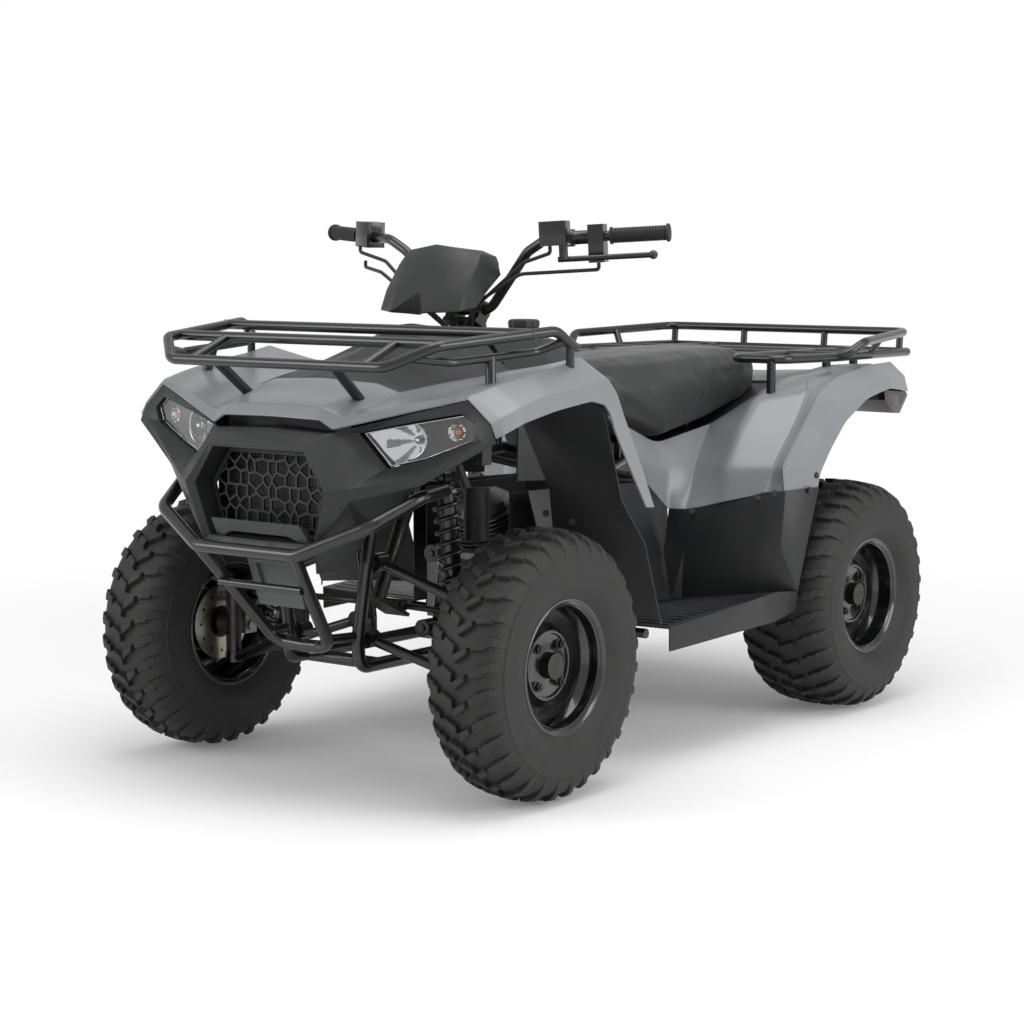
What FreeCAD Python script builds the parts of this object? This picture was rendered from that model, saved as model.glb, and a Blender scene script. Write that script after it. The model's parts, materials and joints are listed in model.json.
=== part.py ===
import FreeCAD, Part
import math
import os

# Utility quad bike in its own frame, millimetres: +Z up, the front faces -Y and +X is the rider's left.
# The origin is on the ground, under the middle of the machine's length and width.

V = FreeCAD.Vector
X_AXIS, Y_AXIS, Z_AXIS = V(1, 0, 0), V(0, 1, 0), V(0, 0, 1)
ORIGIN = V(0, 0, 0)

# Running gear
wheelbase = 1280.0
reach_share = 0.390625          # body_reach, of the wheelbase
centre_offset = 53.0            # the wheels' middle lies this far ahead of the origin
tyre_diameter = 559.0           # 22 inch tyres
front_tyre_width = 178.0
rear_tyre_width = 250.0
front_wheel_x = 457.0
rear_wheel_x = 427.0
rim_radius = 127.0              # 10 inch bead seat
rim_lip_height = 13.5
rim_wall = 4.0
lug_height = 12.0
lug_width = 24.0
lug_lean = 30.0                 # how far a lug leans along the tread
lug_pitches = 16
tyre_wall = 9.0
bead_share = 0.80               # width over the beads, of the tyre's width
tyre_side_shares = [(.80, 0), (.80, .125), (.975, .315), (1.0, .543), (.95, .771), (.74, .936), (.30, 1.0)]
tyre_inner_shares = [(.80, 0), (1.0, .50), (.78, .86)]
lug_shares = [(.05, 1.0, .907, 1.0), (.64, 0, .8855, .989), (.985, -.35, .814, .871)]

# Body panels: shares of these three sizes place every panel point
body_half_width = 500.0
body_reach = wheelbase * reach_share
body_rise = 500.0
body_base_lift = 120.5          # height of the panels' base level above the axles
panel_wall = 4.0
seam_gap = 0.6                  # gap between neighbouring panels

# Steering
column_tilt = 27.0
clamp_back = 343.0              # handlebar clamp behind the front axle
clamp_rise = 668.5              # handlebar clamp above the axles
column_length = 646.0
pitman_radius = 60.0
pitman_ball_x = 18.0
kingpin_x = 385.0
kingpin_half = 76.0
knuckle_arm = 76.0
column_radius = 16.0

# Tubes
rack_tube = 11.0
bumper_tube = 13.5
frame_tube = 14.0
arm_tube = 11.0
bar_tube = 11.0

# Clearances
fit_gap = 0.3
run_gap = 6.0
overrun = 20.0                  # how far a cutting tool passes the face it cuts

axle_z = tyre_diameter / 2
front_axle_y = -wheelbase / 2 - centre_offset
rear_axle_y = wheelbase / 2 - centre_offset
body_base_z = axle_z + body_base_lift


def front(x_share, y_share, z_share):
    """A point of the front body, in shares of the body sizes from the front axle."""
    return V(x_share * body_half_width, front_axle_y + y_share * body_reach,
             body_base_z + z_share * body_rise)


def rear(x_share, y_share, z_share):
    """A point of the rear body, in shares of the body sizes from the rear axle."""
    return V(x_share * body_half_width, rear_axle_y + y_share * body_reach,
             body_base_z + z_share * body_rise)


def flip(p):
    return V(-p.x, p.y, p.z)


def mirrored(shape):
    return shape.mirror(ORIGIN, X_AXIS)


def both(shape):
    return [shape, mirrored(shape)]


def fused(shapes):
    shapes = list(shapes)
    result = shapes[0].multiFuse(shapes[1:]) if len(shapes) > 1 else shapes[0]
    return result.removeSplitter()


def polygon_face(points):
    return Part.Face(Part.makePolygon(points + [points[0]]))


def prism(points, push):
    return polygon_face(points).extrude(push)


def box(corner, opposite):
    low = V(min(corner.x, opposite.x), min(corner.y, opposite.y), min(corner.z, opposite.z))
    size = V(abs(corner.x - opposite.x), abs(corner.y - opposite.y), abs(corner.z - opposite.z))
    return Part.makeBox(size.x, size.y, size.z, low)


def rod(start, end, radius):
    return Part.makeCylinder(radius, (end - start).Length, start, end - start)


def ring(centre, direction, outer, inner, length):
    """A sleeve centred on a point, its axis along a direction."""
    direction = V(direction).normalize()
    start = centre - direction * (length / 2)
    cut_start = start - direction * overrun
    return Part.makeCylinder(outer, length, start, direction).cut(
        Part.makeCylinder(inner, length + 2 * overrun, cut_start, direction))


def rounded_path(points, bend):
    """Straight runs joined by tangent arcs of one radius, smaller where a run is short."""
    edges = []
    start = points[0]
    for before, corner, after in zip(points, points[1:], points[2:]):
        into, out = (corner - before), (after - corner)
        half_turn = into.getAngle(out) / 2
        if half_turn < 1e-3:
            continue
        room = 0.45 * min(into.Length, out.Length)
        reach = min(bend * math.tan(half_turn), room)
        a = corner - V(into).normalize() * reach
        b = corner + V(out).normalize() * reach
        inward = (V(out).normalize() - V(into).normalize()).normalize()
        radius = reach / math.tan(half_turn)
        middle = corner + inward * (radius / math.cos(half_turn) - radius)
        edges.append(Part.LineSegment(start, a).toShape())
        edges.append(Part.Arc(a, middle, b).toShape())
        start = b
    edges.append(Part.LineSegment(start, points[-1]).toShape())
    return Part.Wire(edges)


def tube(points, radius, bend):
    """A solid round bar along a path with rounded corners."""
    path = rounded_path(points, bend)
    section = Part.Wire([Part.Circle(points[0], points[1] - points[0], radius).toShape()])
    return path.makePipeShell([section], True, False)


def symmetric_tube(half_points, radius, bend):
    """A bar that crosses the middle plane: the half path runs from the middle outwards."""
    across = [flip(p) for p in reversed(half_points)]
    if half_points[0].x == 0:
        across = across[:-1]
    return tube(across + half_points, radius, bend)


def sheet(faces, wall):
    """A panel of one wall thickness behind the given facets, each a list of points."""
    index, points, loops = {}, [], []
    for facet in faces:
        loop = []
        for p in facet:
            key = (round(p.x, 4), round(p.y, 4), round(p.z, 4))
            if key not in index:
                index[key] = len(points)
                points.append(p)
            if not loop or loop[-1] != index[key]:
                loop.append(index[key])
        if loop[0] == loop[-1]:
            loop = loop[:-1]
        if len(loop) > 2:
            loops.append(loop)
    triangles = []
    for loop in loops:
        if len(loop) == 4:
            a, b, c, d = loop
            if (points[a] - points[c]).Length <= (points[b] - points[d]).Length:
                triangles += [(a, b, c), (a, c, d)]
            else:
                triangles += [(a, b, d), (b, c, d)]
        else:
            triangles += [(loop[0], loop[i], loop[i + 1]) for i in range(1, len(loop) - 1)]
    normals = {}
    for tri in triangles:
        a, b, c = (points[i] for i in tri)
        normal = (b - a).cross(c - a)
        if normal.Length == 0:
            continue
        normal.normalize()
        for i, (u, w) in zip(tri, ((b - a, c - a), (c - b, a - b), (a - c, b - c))):
            normals.setdefault(i, []).append((normal, u.getAngle(w)))
    inner = []
    for i, p in enumerate(points):
        mean = V(0, 0, 0)
        for normal, weight in normals[i]:
            mean = mean + normal * weight
        mean.normalize()
        slack = min(mean.dot(normal) for normal, weight in normals[i])
        inner.append(p - mean * (wall / max(slack, 0.55)))
    edges = {}
    for tri in triangles:
        for a, b in zip(tri, tri[1:] + tri[:1]):
            edges[(a, b)] = True
    shell = []
    for a, b, c in triangles:
        shell.append([points[a], points[b], points[c]])
        shell.append([inner[a], inner[c], inner[b]])
    for a, b in edges:
        if (b, a) not in edges:
            shell.append([points[b], points[a], inner[b]])
            shell.append([points[a], inner[a], inner[b]])
    skin = Part.makeShell([polygon_face(f) for f in shell])
    solid = Part.makeSolid(skin)
    if solid.Volume < 0:
        solid.reverse()
    return solid


def body_through(rings):
    """A closed solid with flat facets through rings of points, capped at both ends."""
    facets = []
    for ring_a, ring_b in zip(rings, rings[1:]):
        for i in range(len(ring_a)):
            j = (i + 1) % len(ring_a)
            facets.append([ring_a[i], ring_a[j], ring_b[j]])
            facets.append([ring_a[i], ring_b[j], ring_b[i]])
    for end in (rings[0], rings[-1]):
        middle = V(0, 0, 0)
        for p in end:
            middle = middle + p
        middle = middle * (1.0 / len(end))
        facets += [[middle, end[i], end[(i + 1) % len(end)]] for i in range(len(end))]
    solid = Part.makeSolid(Part.makeShell([polygon_face(f) for f in facets]))
    if solid.Volume < 0:
        solid.reverse()
    return solid


def strut_to(panel, start, end, radius):
    """A stay from its foot towards a panel, ending just short of the panel's surface."""
    direction = (end - start).normalize()
    pieces = rod(start, end, radius).cut(panel).Solids
    stay = min(pieces, key=lambda piece: (piece.CenterOfMass - start).Length)
    stay.translate(direction * -fit_gap)
    return stay


def grid(rows):
    """The facets between rows of points; a missing point leaves its facets out."""
    faces = []
    for upper, lower in zip(rows, rows[1:]):
        for i in range(len(upper) - 1):
            corners = [upper[i], upper[i + 1], lower[i + 1], lower[i]]
            if all(corners):
                faces.append(corners)
    return faces


def with_mirror(faces):
    return faces + [[flip(p) for p in reversed(facet)] for facet in faces]


def placed(place, table_shares):
    """Rows of points from a table of shares, a blank where the table has none."""
    return [[place(*cell) if cell else None for cell in row] for row in table_shares]


# Wheels

def faceted_ring(profile, sectors):
    """A ring about the X axis with flat facets, from a closed profile in the XZ plane."""
    turned = []
    for i in range(sectors):
        angle = 2 * math.pi * i / sectors
        turned.append([V(p.x, -p.z * math.sin(angle), p.z * math.cos(angle)) for p in profile])
    facets = []
    for ring_a, ring_b in zip(turned, turned[1:] + turned[:1]):
        for i in range(len(profile)):
            j = (i + 1) % len(profile)
            facets.append(polygon_face([ring_a[i], ring_a[j], ring_b[j], ring_b[i]]))
    solid = Part.makeSolid(Part.makeShell(facets))
    if solid.Volume < 0:
        solid.reverse()
    return solid


def tyre(width):
    """A tyre about the X axis, centred on the origin, with bent lugs from crown to shoulder."""
    crown = tyre_diameter / 2 - lug_height
    half = width / 2
    bead = (rim_radius + fit_gap) / math.cos(math.pi / (2 * lug_pitches))
    outer = [V(half * x - fit_gap, 0, bead + (crown - bead) * z) for x, z in tyre_side_shares]
    inner = [V(half * x - tyre_wall, 0, bead + (crown - bead) * z) for x, z in tyre_inner_shares]
    profile = outer + [flip(p) for p in reversed(outer)] + [flip(p) for p in inner] + list(reversed(inner))
    body = faceted_ring(profile, 2 * lug_pitches)
    pitch = 360.0 / lug_pitches
    lugs = []
    for side in (1, -1):
        for i in range(lug_pitches):
            lugs.append(lug(side, half, i * pitch + (pitch / 2 if side < 0 else 0)))
    return body.multiFuse(lugs).removeSplitter()


def level_at(radius, along):
    """Height of a circle about the axle at a distance along the tread."""
    return math.sqrt(radius * radius - along * along)


def lug(side, half, turn):
    """One bent block: it leans from the crown's middle and wraps over the shoulder."""
    stations = []
    for x_share, lean_share, low_share, high_share in lug_shares:
        x = side * x_share * half
        ahead = lug_lean * lean_share - lug_width / 2
        behind = ahead + lug_width
        low, high = (tyre_diameter / 2 * share for share in (low_share, high_share))
        corners = [V(x, ahead, level_at(low, ahead)), V(x, behind, level_at(low, behind)),
                   V(x, behind, level_at(high, behind)), V(x, ahead, level_at(high, ahead))]
        stations.append(Part.makePolygon(corners + [corners[0]]))
    block = Part.makeLoft(stations, True, True)
    block.rotate(ORIGIN, X_AXIS, turn)
    return block


well_depth = 12.0
well_share, rim_seat_share = .35, .5      # half widths of the rim's well and its inner edge, of the rim's
hub_bore = 30.0
disc_face, disc_bend, disc_foot = 70.0, 74.0, 84.0
disc_step = 16.0                # how far the rim's disc is dished round its middle


def rim(width, dish):
    """A pressed steel rim about the X axis: barrel with a drop centre, and a dished disc."""
    half = width / 2
    lip = rim_radius + rim_lip_height
    well = rim_radius - well_depth
    w = rim_wall
    upper = [(half, lip), (half - w, lip), (half - w, rim_radius), (half * rim_seat_share, rim_radius),
             (half * well_share, well)]
    lower = [(half * well_share + w, well - w), (half * rim_seat_share + w, rim_radius - w),
             (half, rim_radius - w)]
    barrel = [V(-x, 0, z) for x, z in upper] + [V(x, 0, z) for x, z in reversed(upper)]
    barrel += [V(x, 0, z) for x, z in reversed(lower)] + [V(-x, 0, z) for x, z in lower]
    disc = [V(dish, 0, hub_bore), V(dish, 0, disc_bend), V(dish - disc_step, 0, disc_foot),
            V(dish - disc_step, 0, well - w), V(dish - disc_step - w, 0, well - w),
            V(dish - disc_step - w, 0, disc_foot - w), V(dish - w, 0, disc_face), V(dish - w, 0, hub_bore)]
    return fused([polygon_face(profile).revolve(ORIGIN, X_AXIS, 360) for profile in (barrel, disc)])


hub_bolt_circle = 55.0
hub_flange_radius = 68.0
hub_flange = 8.0
hub_sleeve_radius = 34.0
hub_sleeve = 60.0
nut_radius = 9.0
nut_height = 14.0
cap_radius = 27.0
cap_height = 22.0
front_dish = 28.0
rear_dish = 52.0


def hub(dish):
    """Flange behind the rim's disc with a centre cap, and a sleeve inwards."""
    back = V(dish - rim_wall - fit_gap - hub_flange, 0, 0)
    front_face = V(back.x + hub_flange, 0, 0)
    return [rod(back, front_face, hub_flange_radius),
            rod(back, front_face + V(rim_wall + cap_height, 0, 0), cap_radius),
            rod(front_face - V(hub_sleeve, 0, 0), front_face, hub_sleeve_radius)]


def wheel_nuts(dish):
    """Four nuts seated on the front of the rim's disc."""
    nuts = []
    for i in range(4):
        angle = math.radians(45 + 90 * i)
        centre = V(dish, hub_bolt_circle * math.cos(angle), hub_bolt_circle * math.sin(angle))
        corners = [centre + V(0, nut_radius * math.cos(math.radians(60 * k)),
                              nut_radius * math.sin(math.radians(60 * k))) for k in range(6)]
        nuts.append(prism(corners, V(nut_height, 0, 0)))
    return nuts


def wheel_pair(width, dish):
    tyre_solid = tyre(width)
    rim_solid = fused([rim(width * bead_share + 2 * rim_wall, dish)] + wheel_nuts(dish))
    return tyre_solid, rim_solid


def at_wheel(shape, side, x, y):
    """Places a wheel piece; its outer face looks away from the machine."""
    piece = shape.copy()
    if side < 0:
        piece = mirrored(piece)
    piece.translate(V(side * x, y, axle_z))
    return piece


# Front suspension and steering

lower_ball = V(kingpin_x, front_axle_y, axle_z - kingpin_half)
upper_ball = V(kingpin_x, front_axle_y, axle_z + kingpin_half)
lower_pivot = V(95.0, front_axle_y, axle_z + 26.0)
upper_pivot = V(120.0, front_axle_y, axle_z + 190.0)
arm_spread = 95.0
upright_offset = 38.0           # frame uprights beyond the arms' eyes
arm_eye_radius = 19.0
arm_eye_length = 34.0
arm_pin_radius = 8.0
ball_cup_radius = 19.0
ball_cup_length = 22.0
ball_stud_radius = 9.0
upright_radius = 17.0
swing_gap = 2.0                 # room round the upright's ends in the arms' cups
cup_gap = 1.0                   # between the upright's ends and the cups
spindle_boss, spindle_boss_radius = 25.0, 29.0
steer_arm_radius, steer_arm_half = 9.0, 6.0
spindle_radius = 15.0
spindle_end_gap = 4.0
shock_foot_share = 0.58         # along the lower arm, from its pivot
shock_pin_radius = 7.0
shock_boss_radius = 9.0
shock_eye_radius = 15.0
shock_eye_width = 24.0
shock_foot_lift = 16.0          # shock pin above the lower arm's tubes
column_up = V(0, math.sin(math.radians(column_tilt)), math.cos(math.radians(column_tilt)))
column_back = V(0, math.cos(math.radians(column_tilt)), -math.sin(math.radians(column_tilt)))
clamp = V(0, front_axle_y + clamp_back, axle_z + clamp_rise)
column_foot = clamp - column_up * column_length
pitman_ball = column_foot + column_back * pitman_radius + V(pitman_ball_x, 0, 0)
rod_end_inset = 4.0
rod_end = V(kingpin_x - rod_end_inset, front_axle_y + knuckle_arm, pitman_ball.z)
rod_ball_radius = 14.0
rod_radius = 7.0
rod_eye_length = 14.0
rod_stud_radius = 5.0
rod_hole_radius = 9.0           # loose hole in the steering arm: the rod's end drifts a little in it
rod_end_lift = 24.0             # rod end above the steering arm
arm_hole = V(-2.4, -1.1, 0)     # the hole's centre from the rod end's, so that the end's drift stays inside
pitman_stud_radius = 6.0
shock_foot = lower_pivot + (lower_ball - lower_pivot) * shock_foot_share + V(0, 0, shock_foot_lift)
shock_top = V(218.0, front_axle_y, axle_z + 365.0)


def a_arm(pivot, ball, carries_shock):
    """Two legs from the frame pivots to the ball joint's cup."""
    legs = [ring(ball, Z_AXIS, ball_cup_radius, ball_stud_radius + fit_gap, ball_cup_length)]
    bores = [rod(ball - V(0, 0, overrun), ball + V(0, 0, overrun), ball_stud_radius + fit_gap)]
    for way in (-1, 1):
        eye = pivot + V(0, way * arm_spread, 0)
        legs.append(rod(eye, ball - V(ball_cup_radius * .6, 0, 0), arm_tube))
        legs.append(rod(eye - V(0, arm_eye_length / 2, 0), eye + V(0, arm_eye_length / 2, 0), arm_eye_radius))
        bores.append(rod(eye - V(0, arm_eye_length, 0), eye + V(0, arm_eye_length, 0), arm_pin_radius + fit_gap))
    if carries_shock:
        spread = V(0, arm_spread * (1 - shock_foot_share) + arm_tube, 0)
        foot = pivot + (ball - pivot) * shock_foot_share
        for way in (-1, 1):
            leg_top = foot + V(0, way * arm_spread * (1 - shock_foot_share), 0)
            legs.append(rod(leg_top, leg_top + V(0, 0, shock_foot_lift), shock_boss_radius))
        legs.append(rod(shock_foot - spread, shock_foot + spread, shock_pin_radius))
    swing_room = V(0, 0, ball_cup_length / 2)
    for way in (-1, 1):
        near = ball + swing_room * way
        bores.append(rod(near, near + swing_room * way * 3, upright_radius + swing_gap))
    return fused(legs).cut(Part.makeCompound(bores))


def knuckle():
    """Upright with the two ball studs, the stub axle and the steering arm."""
    half_cup = ball_cup_length / 2
    axle_point = V(kingpin_x, front_axle_y, axle_z)
    spindle_tip = V(front_wheel_x + front_dish - rim_wall - hub_flange, front_axle_y, axle_z)
    arm_level = rod_end.z - rod_end_lift
    arm_base = V(kingpin_x, front_axle_y, arm_level)
    tip = V(rod_end.x, rod_end.y, arm_level) + arm_hole
    pieces = [
        rod(lower_ball + V(0, 0, half_cup + cup_gap), upper_ball - V(0, 0, half_cup + cup_gap), upright_radius),
        rod(lower_ball - V(0, 0, half_cup), lower_ball + V(0, 0, half_cup + cup_gap * 2), ball_stud_radius),
        rod(upper_ball - V(0, 0, half_cup + cup_gap * 2), upper_ball + V(0, 0, half_cup), ball_stud_radius),
        rod(axle_point, axle_point + V(spindle_boss, 0, 0), spindle_boss_radius),
        rod(axle_point, spindle_tip, spindle_radius),
        rod(arm_base, tip, steer_arm_radius),
        rod(tip - V(0, 0, steer_arm_half), tip + V(0, 0, steer_arm_half), rod_hole_radius + rod_radius),
    ]
    return fused(pieces).cut(rod(tip - V(0, 0, overrun), tip + V(0, 0, overrun), rod_hole_radius))


def front_hub():
    """Front wheel hub with a blind bore for the stub axle."""
    body = fused(hub(front_dish))
    face = front_dish - rim_wall - fit_gap
    return body.cut(rod(V(face - hub_sleeve - overrun, 0, 0), V(face - hub_flange + spindle_end_gap, 0, 0),
                        spindle_radius + fit_gap))


def tie_rod():
    """Rod from the pitman plate's stud to the steering arm."""
    along = (rod_end - pitman_ball).normalize()
    half = column_up * (rod_eye_length / 2)
    pieces = [rod(pitman_ball + along * rod_ball_radius * .85, rod_end, rod_radius),
              rod(rod_end - V(0, 0, steer_arm_radius), rod_end + V(0, 0, steer_arm_radius), rod_ball_radius),
              rod(rod_end - V(0, 0, rod_end_lift + steer_arm_half), rod_end, rod_stud_radius),
              rod(pitman_ball - half, pitman_ball + half, rod_ball_radius)]
    return fused(pieces).cut(rod(pitman_ball - column_up * overrun, pitman_ball + column_up * overrun,
                                 pitman_stud_radius + fit_gap))


clamp_spacing = 34.0
clamp_width = 26.0
clamp_radius = 21.0
clamp_base = 10.0
bar_lift = 36.0                 # handlebar above the top of the steering shaft
bar_centre = clamp + column_up * bar_lift
pitman_plate = 8.0
pitman_drop = 19.0              # plate's underside below the tie rods' eyes
pitman_margin = 16.0            # plate beyond the studs
pitman_front, pitman_half_front = 22.0, 24.0
stud_below, stud_above = 15.0, 10.0


def steering_stem():
    """Shaft with the handlebar clamps above and the pitman plate with two studs below."""
    level = column_foot - column_up * pitman_drop
    back_left = level + column_back * (pitman_radius + pitman_margin) + V(pitman_ball_x + pitman_margin, 0, 0)
    front_left = level - column_back * pitman_front + V(pitman_half_front, 0, 0)
    pieces = [rod(level, clamp, column_radius),
              prism([front_left, back_left, flip(back_left), flip(front_left)], column_up * pitman_plate),
              box_on(clamp, clamp_spacing + clamp_width / 2, clamp_radius, clamp_base)]
    for ball in (pitman_ball, flip(pitman_ball)):
        pieces.append(rod(ball - column_up * stud_below, ball + column_up * stud_above, pitman_stud_radius))
    half = V(clamp_width / 2, 0, 0)
    for side in (-1, 1):
        centre = V(side * clamp_spacing, 0, 0)
        pieces.append(rod(bar_centre + centre - half, bar_centre + centre + half, clamp_radius))
        pieces.append(box_on(clamp + centre, clamp_width / 2, clamp_radius * .8, bar_lift))
    span = V(clamp_spacing * 2, 0, 0)
    return fused(pieces).cut(rod(bar_centre - span, bar_centre + span, bar_tube + fit_gap / 2))


def box_on(centre, half_width, half_depth, height):
    """A block that stands on the steering column's cross plane at a point."""
    corners = [centre + V(sx * half_width, 0, 0) + column_back * (sy * half_depth)
               for sx, sy in ((-1, -1), (1, -1), (1, 1), (-1, 1))]
    return prism(corners, column_up * height)


bar_inner, bar_outer = front(.44, .70, 1.476), front(.93, .895, 1.506)
bar_along = (bar_outer - bar_inner).normalize()
bar_half_straight = 60.0        # the bar's straight middle, each way
bar_bend = 55.0
grip_radius = 16.5
grip_length = 130.0
grip_flange_radius, grip_flange = 20.0, 6.0
grip_end = 10.0                 # the grip beyond the bar's end


def handlebar():
    rise = [bar_centre, bar_centre + V(bar_half_straight, 0, 0), front(.34, .70, 1.42), bar_inner, bar_outer]
    return symmetric_tube(rise, bar_tube, bar_bend)


def grips():
    """Rubber grips with end flanges on the bar's ends."""
    tip = bar_outer + bar_along * grip_end
    inner = tip - bar_along * grip_length
    grip = rod(inner, tip, grip_radius).fuse(rod(tip - bar_along * grip_flange, tip, grip_flange_radius))
    bore = rod(inner - bar_along * overrun, bar_outer + bar_along * fit_gap, bar_tube + fit_gap)
    return both(grip.removeSplitter().cut(bore))


bar_cover_shares = [
    [(0, .62, 1.44), (.15, .63, 1.425), (.20, .66, 1.40), (.20, .68, 1.37)],
    [(0, .486, 1.452), (.15, .494, 1.428), (.21, .54, 1.41), (.222, .652, 1.354)],
    [(0, .43, 1.40), (.145, .445, 1.375), (.222, .50, 1.36), (.23, .655, 1.32)],
    [(0, .37, 1.25), (.11, .36, 1.26), (.22, .41, 1.25), (.23, .56, 1.25)],
    [(0, .366, 1.146), (.09, .28, 1.16), (.22, .37, 1.164), (.23, .48, 1.18)],
]


def bar_cover():
    """Faceted cover over the handlebar's middle, open to the rider."""
    faces = with_mirror([list(reversed(f)) for f in grid(placed(front, bar_cover_shares))])
    return sheet(faces, panel_wall)


# Hand controls and their cables

bar_ahead = Z_AXIS.cross(bar_along).normalize() * -1
bar_above = bar_along.cross(bar_ahead * -1).normalize()
switch_from, switch_to = 98.0, 132.0      # along the bar from its bend
switch_high, switch_low, switch_deep = 26.0, 56.0, 22.0
perch_from, perch_to = 40.0, 64.0
perch_radius = 19.0
reservoir_ahead, reservoir_rise, reservoir_inward = 63.0, 10.0, 16.0
reservoir_width, reservoir_deep, reservoir_high = 29.0, 24.0, 26.0
lever_pivot_ahead, lever_drop, lever_radius, lever_reach = 58.0, 46.0, 6.0, 196.0
ball_share = 1.6                # the lever's end ball, of its radius
throttle_from, throttle_to = 66.0, 122.0
throttle_high, throttle_low = 34.0, 24.0
thumb_reach = 44.0
cable_radius = 4.0
cable_side = 25.0               # cables beside the steering shaft's axis
cable_down = 200.0              # cable ends below the handlebar clamp
cable_drop = 15.0
cable_bend = 30.0
# Each cable's place beside the shaft, and its turns beside the bar and below the bar's middle
cable_lane_shares = [(.65, -.75, (.39, .61, 1.376), (.15, .586, 1.186)),
                     (1.0, .2, (.39, .58, 1.326), (.15, .556, 1.186))]


def by_bar(along, ahead, above):
    """A point beside the left end of the handlebar."""
    return bar_inner + bar_along * along + bar_ahead * ahead + bar_above * above


def bar_block(along, ahead, above):
    """A block beside the bar between two distances in each direction."""
    corners = [by_bar(along[0], a, b) for a, b in ((ahead[0], above[0]), (ahead[1], above[0]),
                                                   (ahead[1], above[1]), (ahead[0], above[1]))]
    return prism(corners, bar_along * (along[1] - along[0]))


def controls():
    """Left: switch box, brake lever and its reservoir. Right: throttle housing with a thumb lever."""
    switch = bar_block((switch_from, switch_to), (-switch_deep, switch_deep), (-switch_low, switch_high))
    perch = rod(by_bar(perch_from, 0, 0), by_bar(perch_to, 0, 0), perch_radius)
    perch_middle = (perch_from + perch_to) / 2
    tank_middle = perch_middle - reservoir_inward
    neck = rod(by_bar(perch_middle, 0, 0), by_bar(tank_middle, reservoir_ahead, 0), perch_radius * .6)
    bridge = rod(by_bar(perch_middle, lever_pivot_ahead, 0), by_bar(perch_middle, lever_pivot_ahead, -lever_drop),
                 lever_radius * ball_share)
    link = rod(by_bar(perch_to, 0, 0), by_bar(switch_from, 0, 0), bar_tube + cable_radius)
    tank = bar_block((tank_middle - reservoir_width, tank_middle + reservoir_width),
                     (reservoir_ahead - reservoir_deep, reservoir_ahead + reservoir_deep),
                     (reservoir_rise - reservoir_high, reservoir_rise + reservoir_high))
    lever_start = by_bar(perch_middle, lever_pivot_ahead, -lever_drop)
    lever_end = lever_start + bar_along * lever_reach
    blade = [rod(lever_start - bar_along * lever_radius * 2, lever_end, lever_radius),
             Part.makeSphere(lever_radius * ball_share, lever_end)]
    left = fused([switch, perch, neck, bridge, link, tank] + blade)
    housing = bar_block((throttle_from, throttle_to), (-switch_deep, reservoir_deep),
                        (-throttle_low, throttle_high))
    thumb = rod(by_bar(throttle_to - lever_radius, -switch_deep * .5, -throttle_low + lever_radius),
                by_bar(throttle_to + thumb_reach, -switch_deep * 1.6, -throttle_low), lever_radius)
    right = fused([housing, thumb])
    bore = rod(bar_inner, bar_outer, bar_tube + fit_gap)
    return Part.makeCompound([left.cut(bore), mirrored(right.cut(bore))])


def cables():
    """Four cables from the hand controls down beside the steering shaft."""
    tank_middle = (perch_from + perch_to) / 2 - reservoir_inward
    starts = [by_bar(tank_middle - cable_radius * 3, reservoir_ahead, reservoir_rise - reservoir_high),
              by_bar((switch_from + switch_to) / 2, 0, -switch_low)]
    runs = []
    for start, (side_share, lane_share, beside_cell, below_cell) in zip(starts, cable_lane_shares):
        lane = V(cable_side * side_share, 0, 0) + column_back * (cable_side * lane_share)
        low, high = clamp - column_up * cable_down + lane, clamp - column_up * clamp_radius + lane
        socket = start - bar_above * fit_gap
        drop = socket - bar_above * cable_drop
        turns = [socket, drop, front(*beside_cell), front(*below_cell), high, low]
        runs.append(tube(turns, cable_radius, cable_bend))
    return Part.makeCompound(runs + [mirrored(run) for run in runs])


# Front body

hood_shares = [
    [(0, -.598, .758), (.262, -.584, .752), (.324, -.578, .718), (.6, -.464, .79), (.84, -.364, .852),
     (.95, -.354, .756), (1.016, -.414, .7)],
    [(0, -.57, .806), (.244, -.558, .8), (.35, -.538, .764), (.6, -.43, .824), (.848, -.338, .866),
     (.968, -.314, .776), (1.024, -.374, .714)],
    [(0, -.268, .898), (.28, -.244, .884), (.4, -.248, .852), (.62, -.244, .864), (.856, -.214, .896),
     (.98, -.214, .812), (1.02, -.224, .758)],
    [None, None, (.45, -.014, .884), (.64, -.014, .90), (.868, .006, .936), (.99, -.014, .86), (1.02, -.014, .794)],
    [None, None, (.5, .192, .906), (.66, .206, .924), (.876, .206, .96), (1.0, .216, .882), (1.02, .228, .82)],
    [None, None, (.5, .346, .92), (.67, .356, .948), (.872, .356, .99), (.998, .37, .91), (1.016, .33, .80)],
    [None, None, None, None, (.91, .426, .92), (1.0, .44, .84), (1.016, .37, .76)],
    [None, None, None, None, (.96, .488, .792), (1.004, .49, .74), (1.016, .41, .68)],
    [None, None, None, None, (.984, .606, .58), (1.006, .60, .56), (1.014, .51, .54)],
    [None, None, None, None, (.99, .734, .344), (1.006, .72, .344), (1.012, .65, .35)],
]


def front_fender():
    """One-piece hood and wheel arches with a raised middle and a strip down behind each wheel."""
    return sheet(with_mirror(grid(placed(front, hood_shares))), panel_wall)


cover_shares = [
    [(0, -.245, .902), (.14, -.235, .897), (.28, -.222, .888), (.385, -.225, .86)],
    [(0, .05, .965), (.14, .05, .96), (.26, .04, .93), (.435, -.012, .894)],
    [(0, .22, 1.05), (.13, .23, 1.04), (.25, .28, 1.0), (.468, .12, .907)],
    [(0, .30, 1.114), (.12, .31, 1.10), (.24, .35, 1.05), (.485, .20, .914)],
    [(0, .50, 1.09), (.13, .50, 1.08), (.24, .50, 1.05), (.485, .35, .926)],
]
cable_room = 16.0               # room round the steering shaft for the cables


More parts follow.
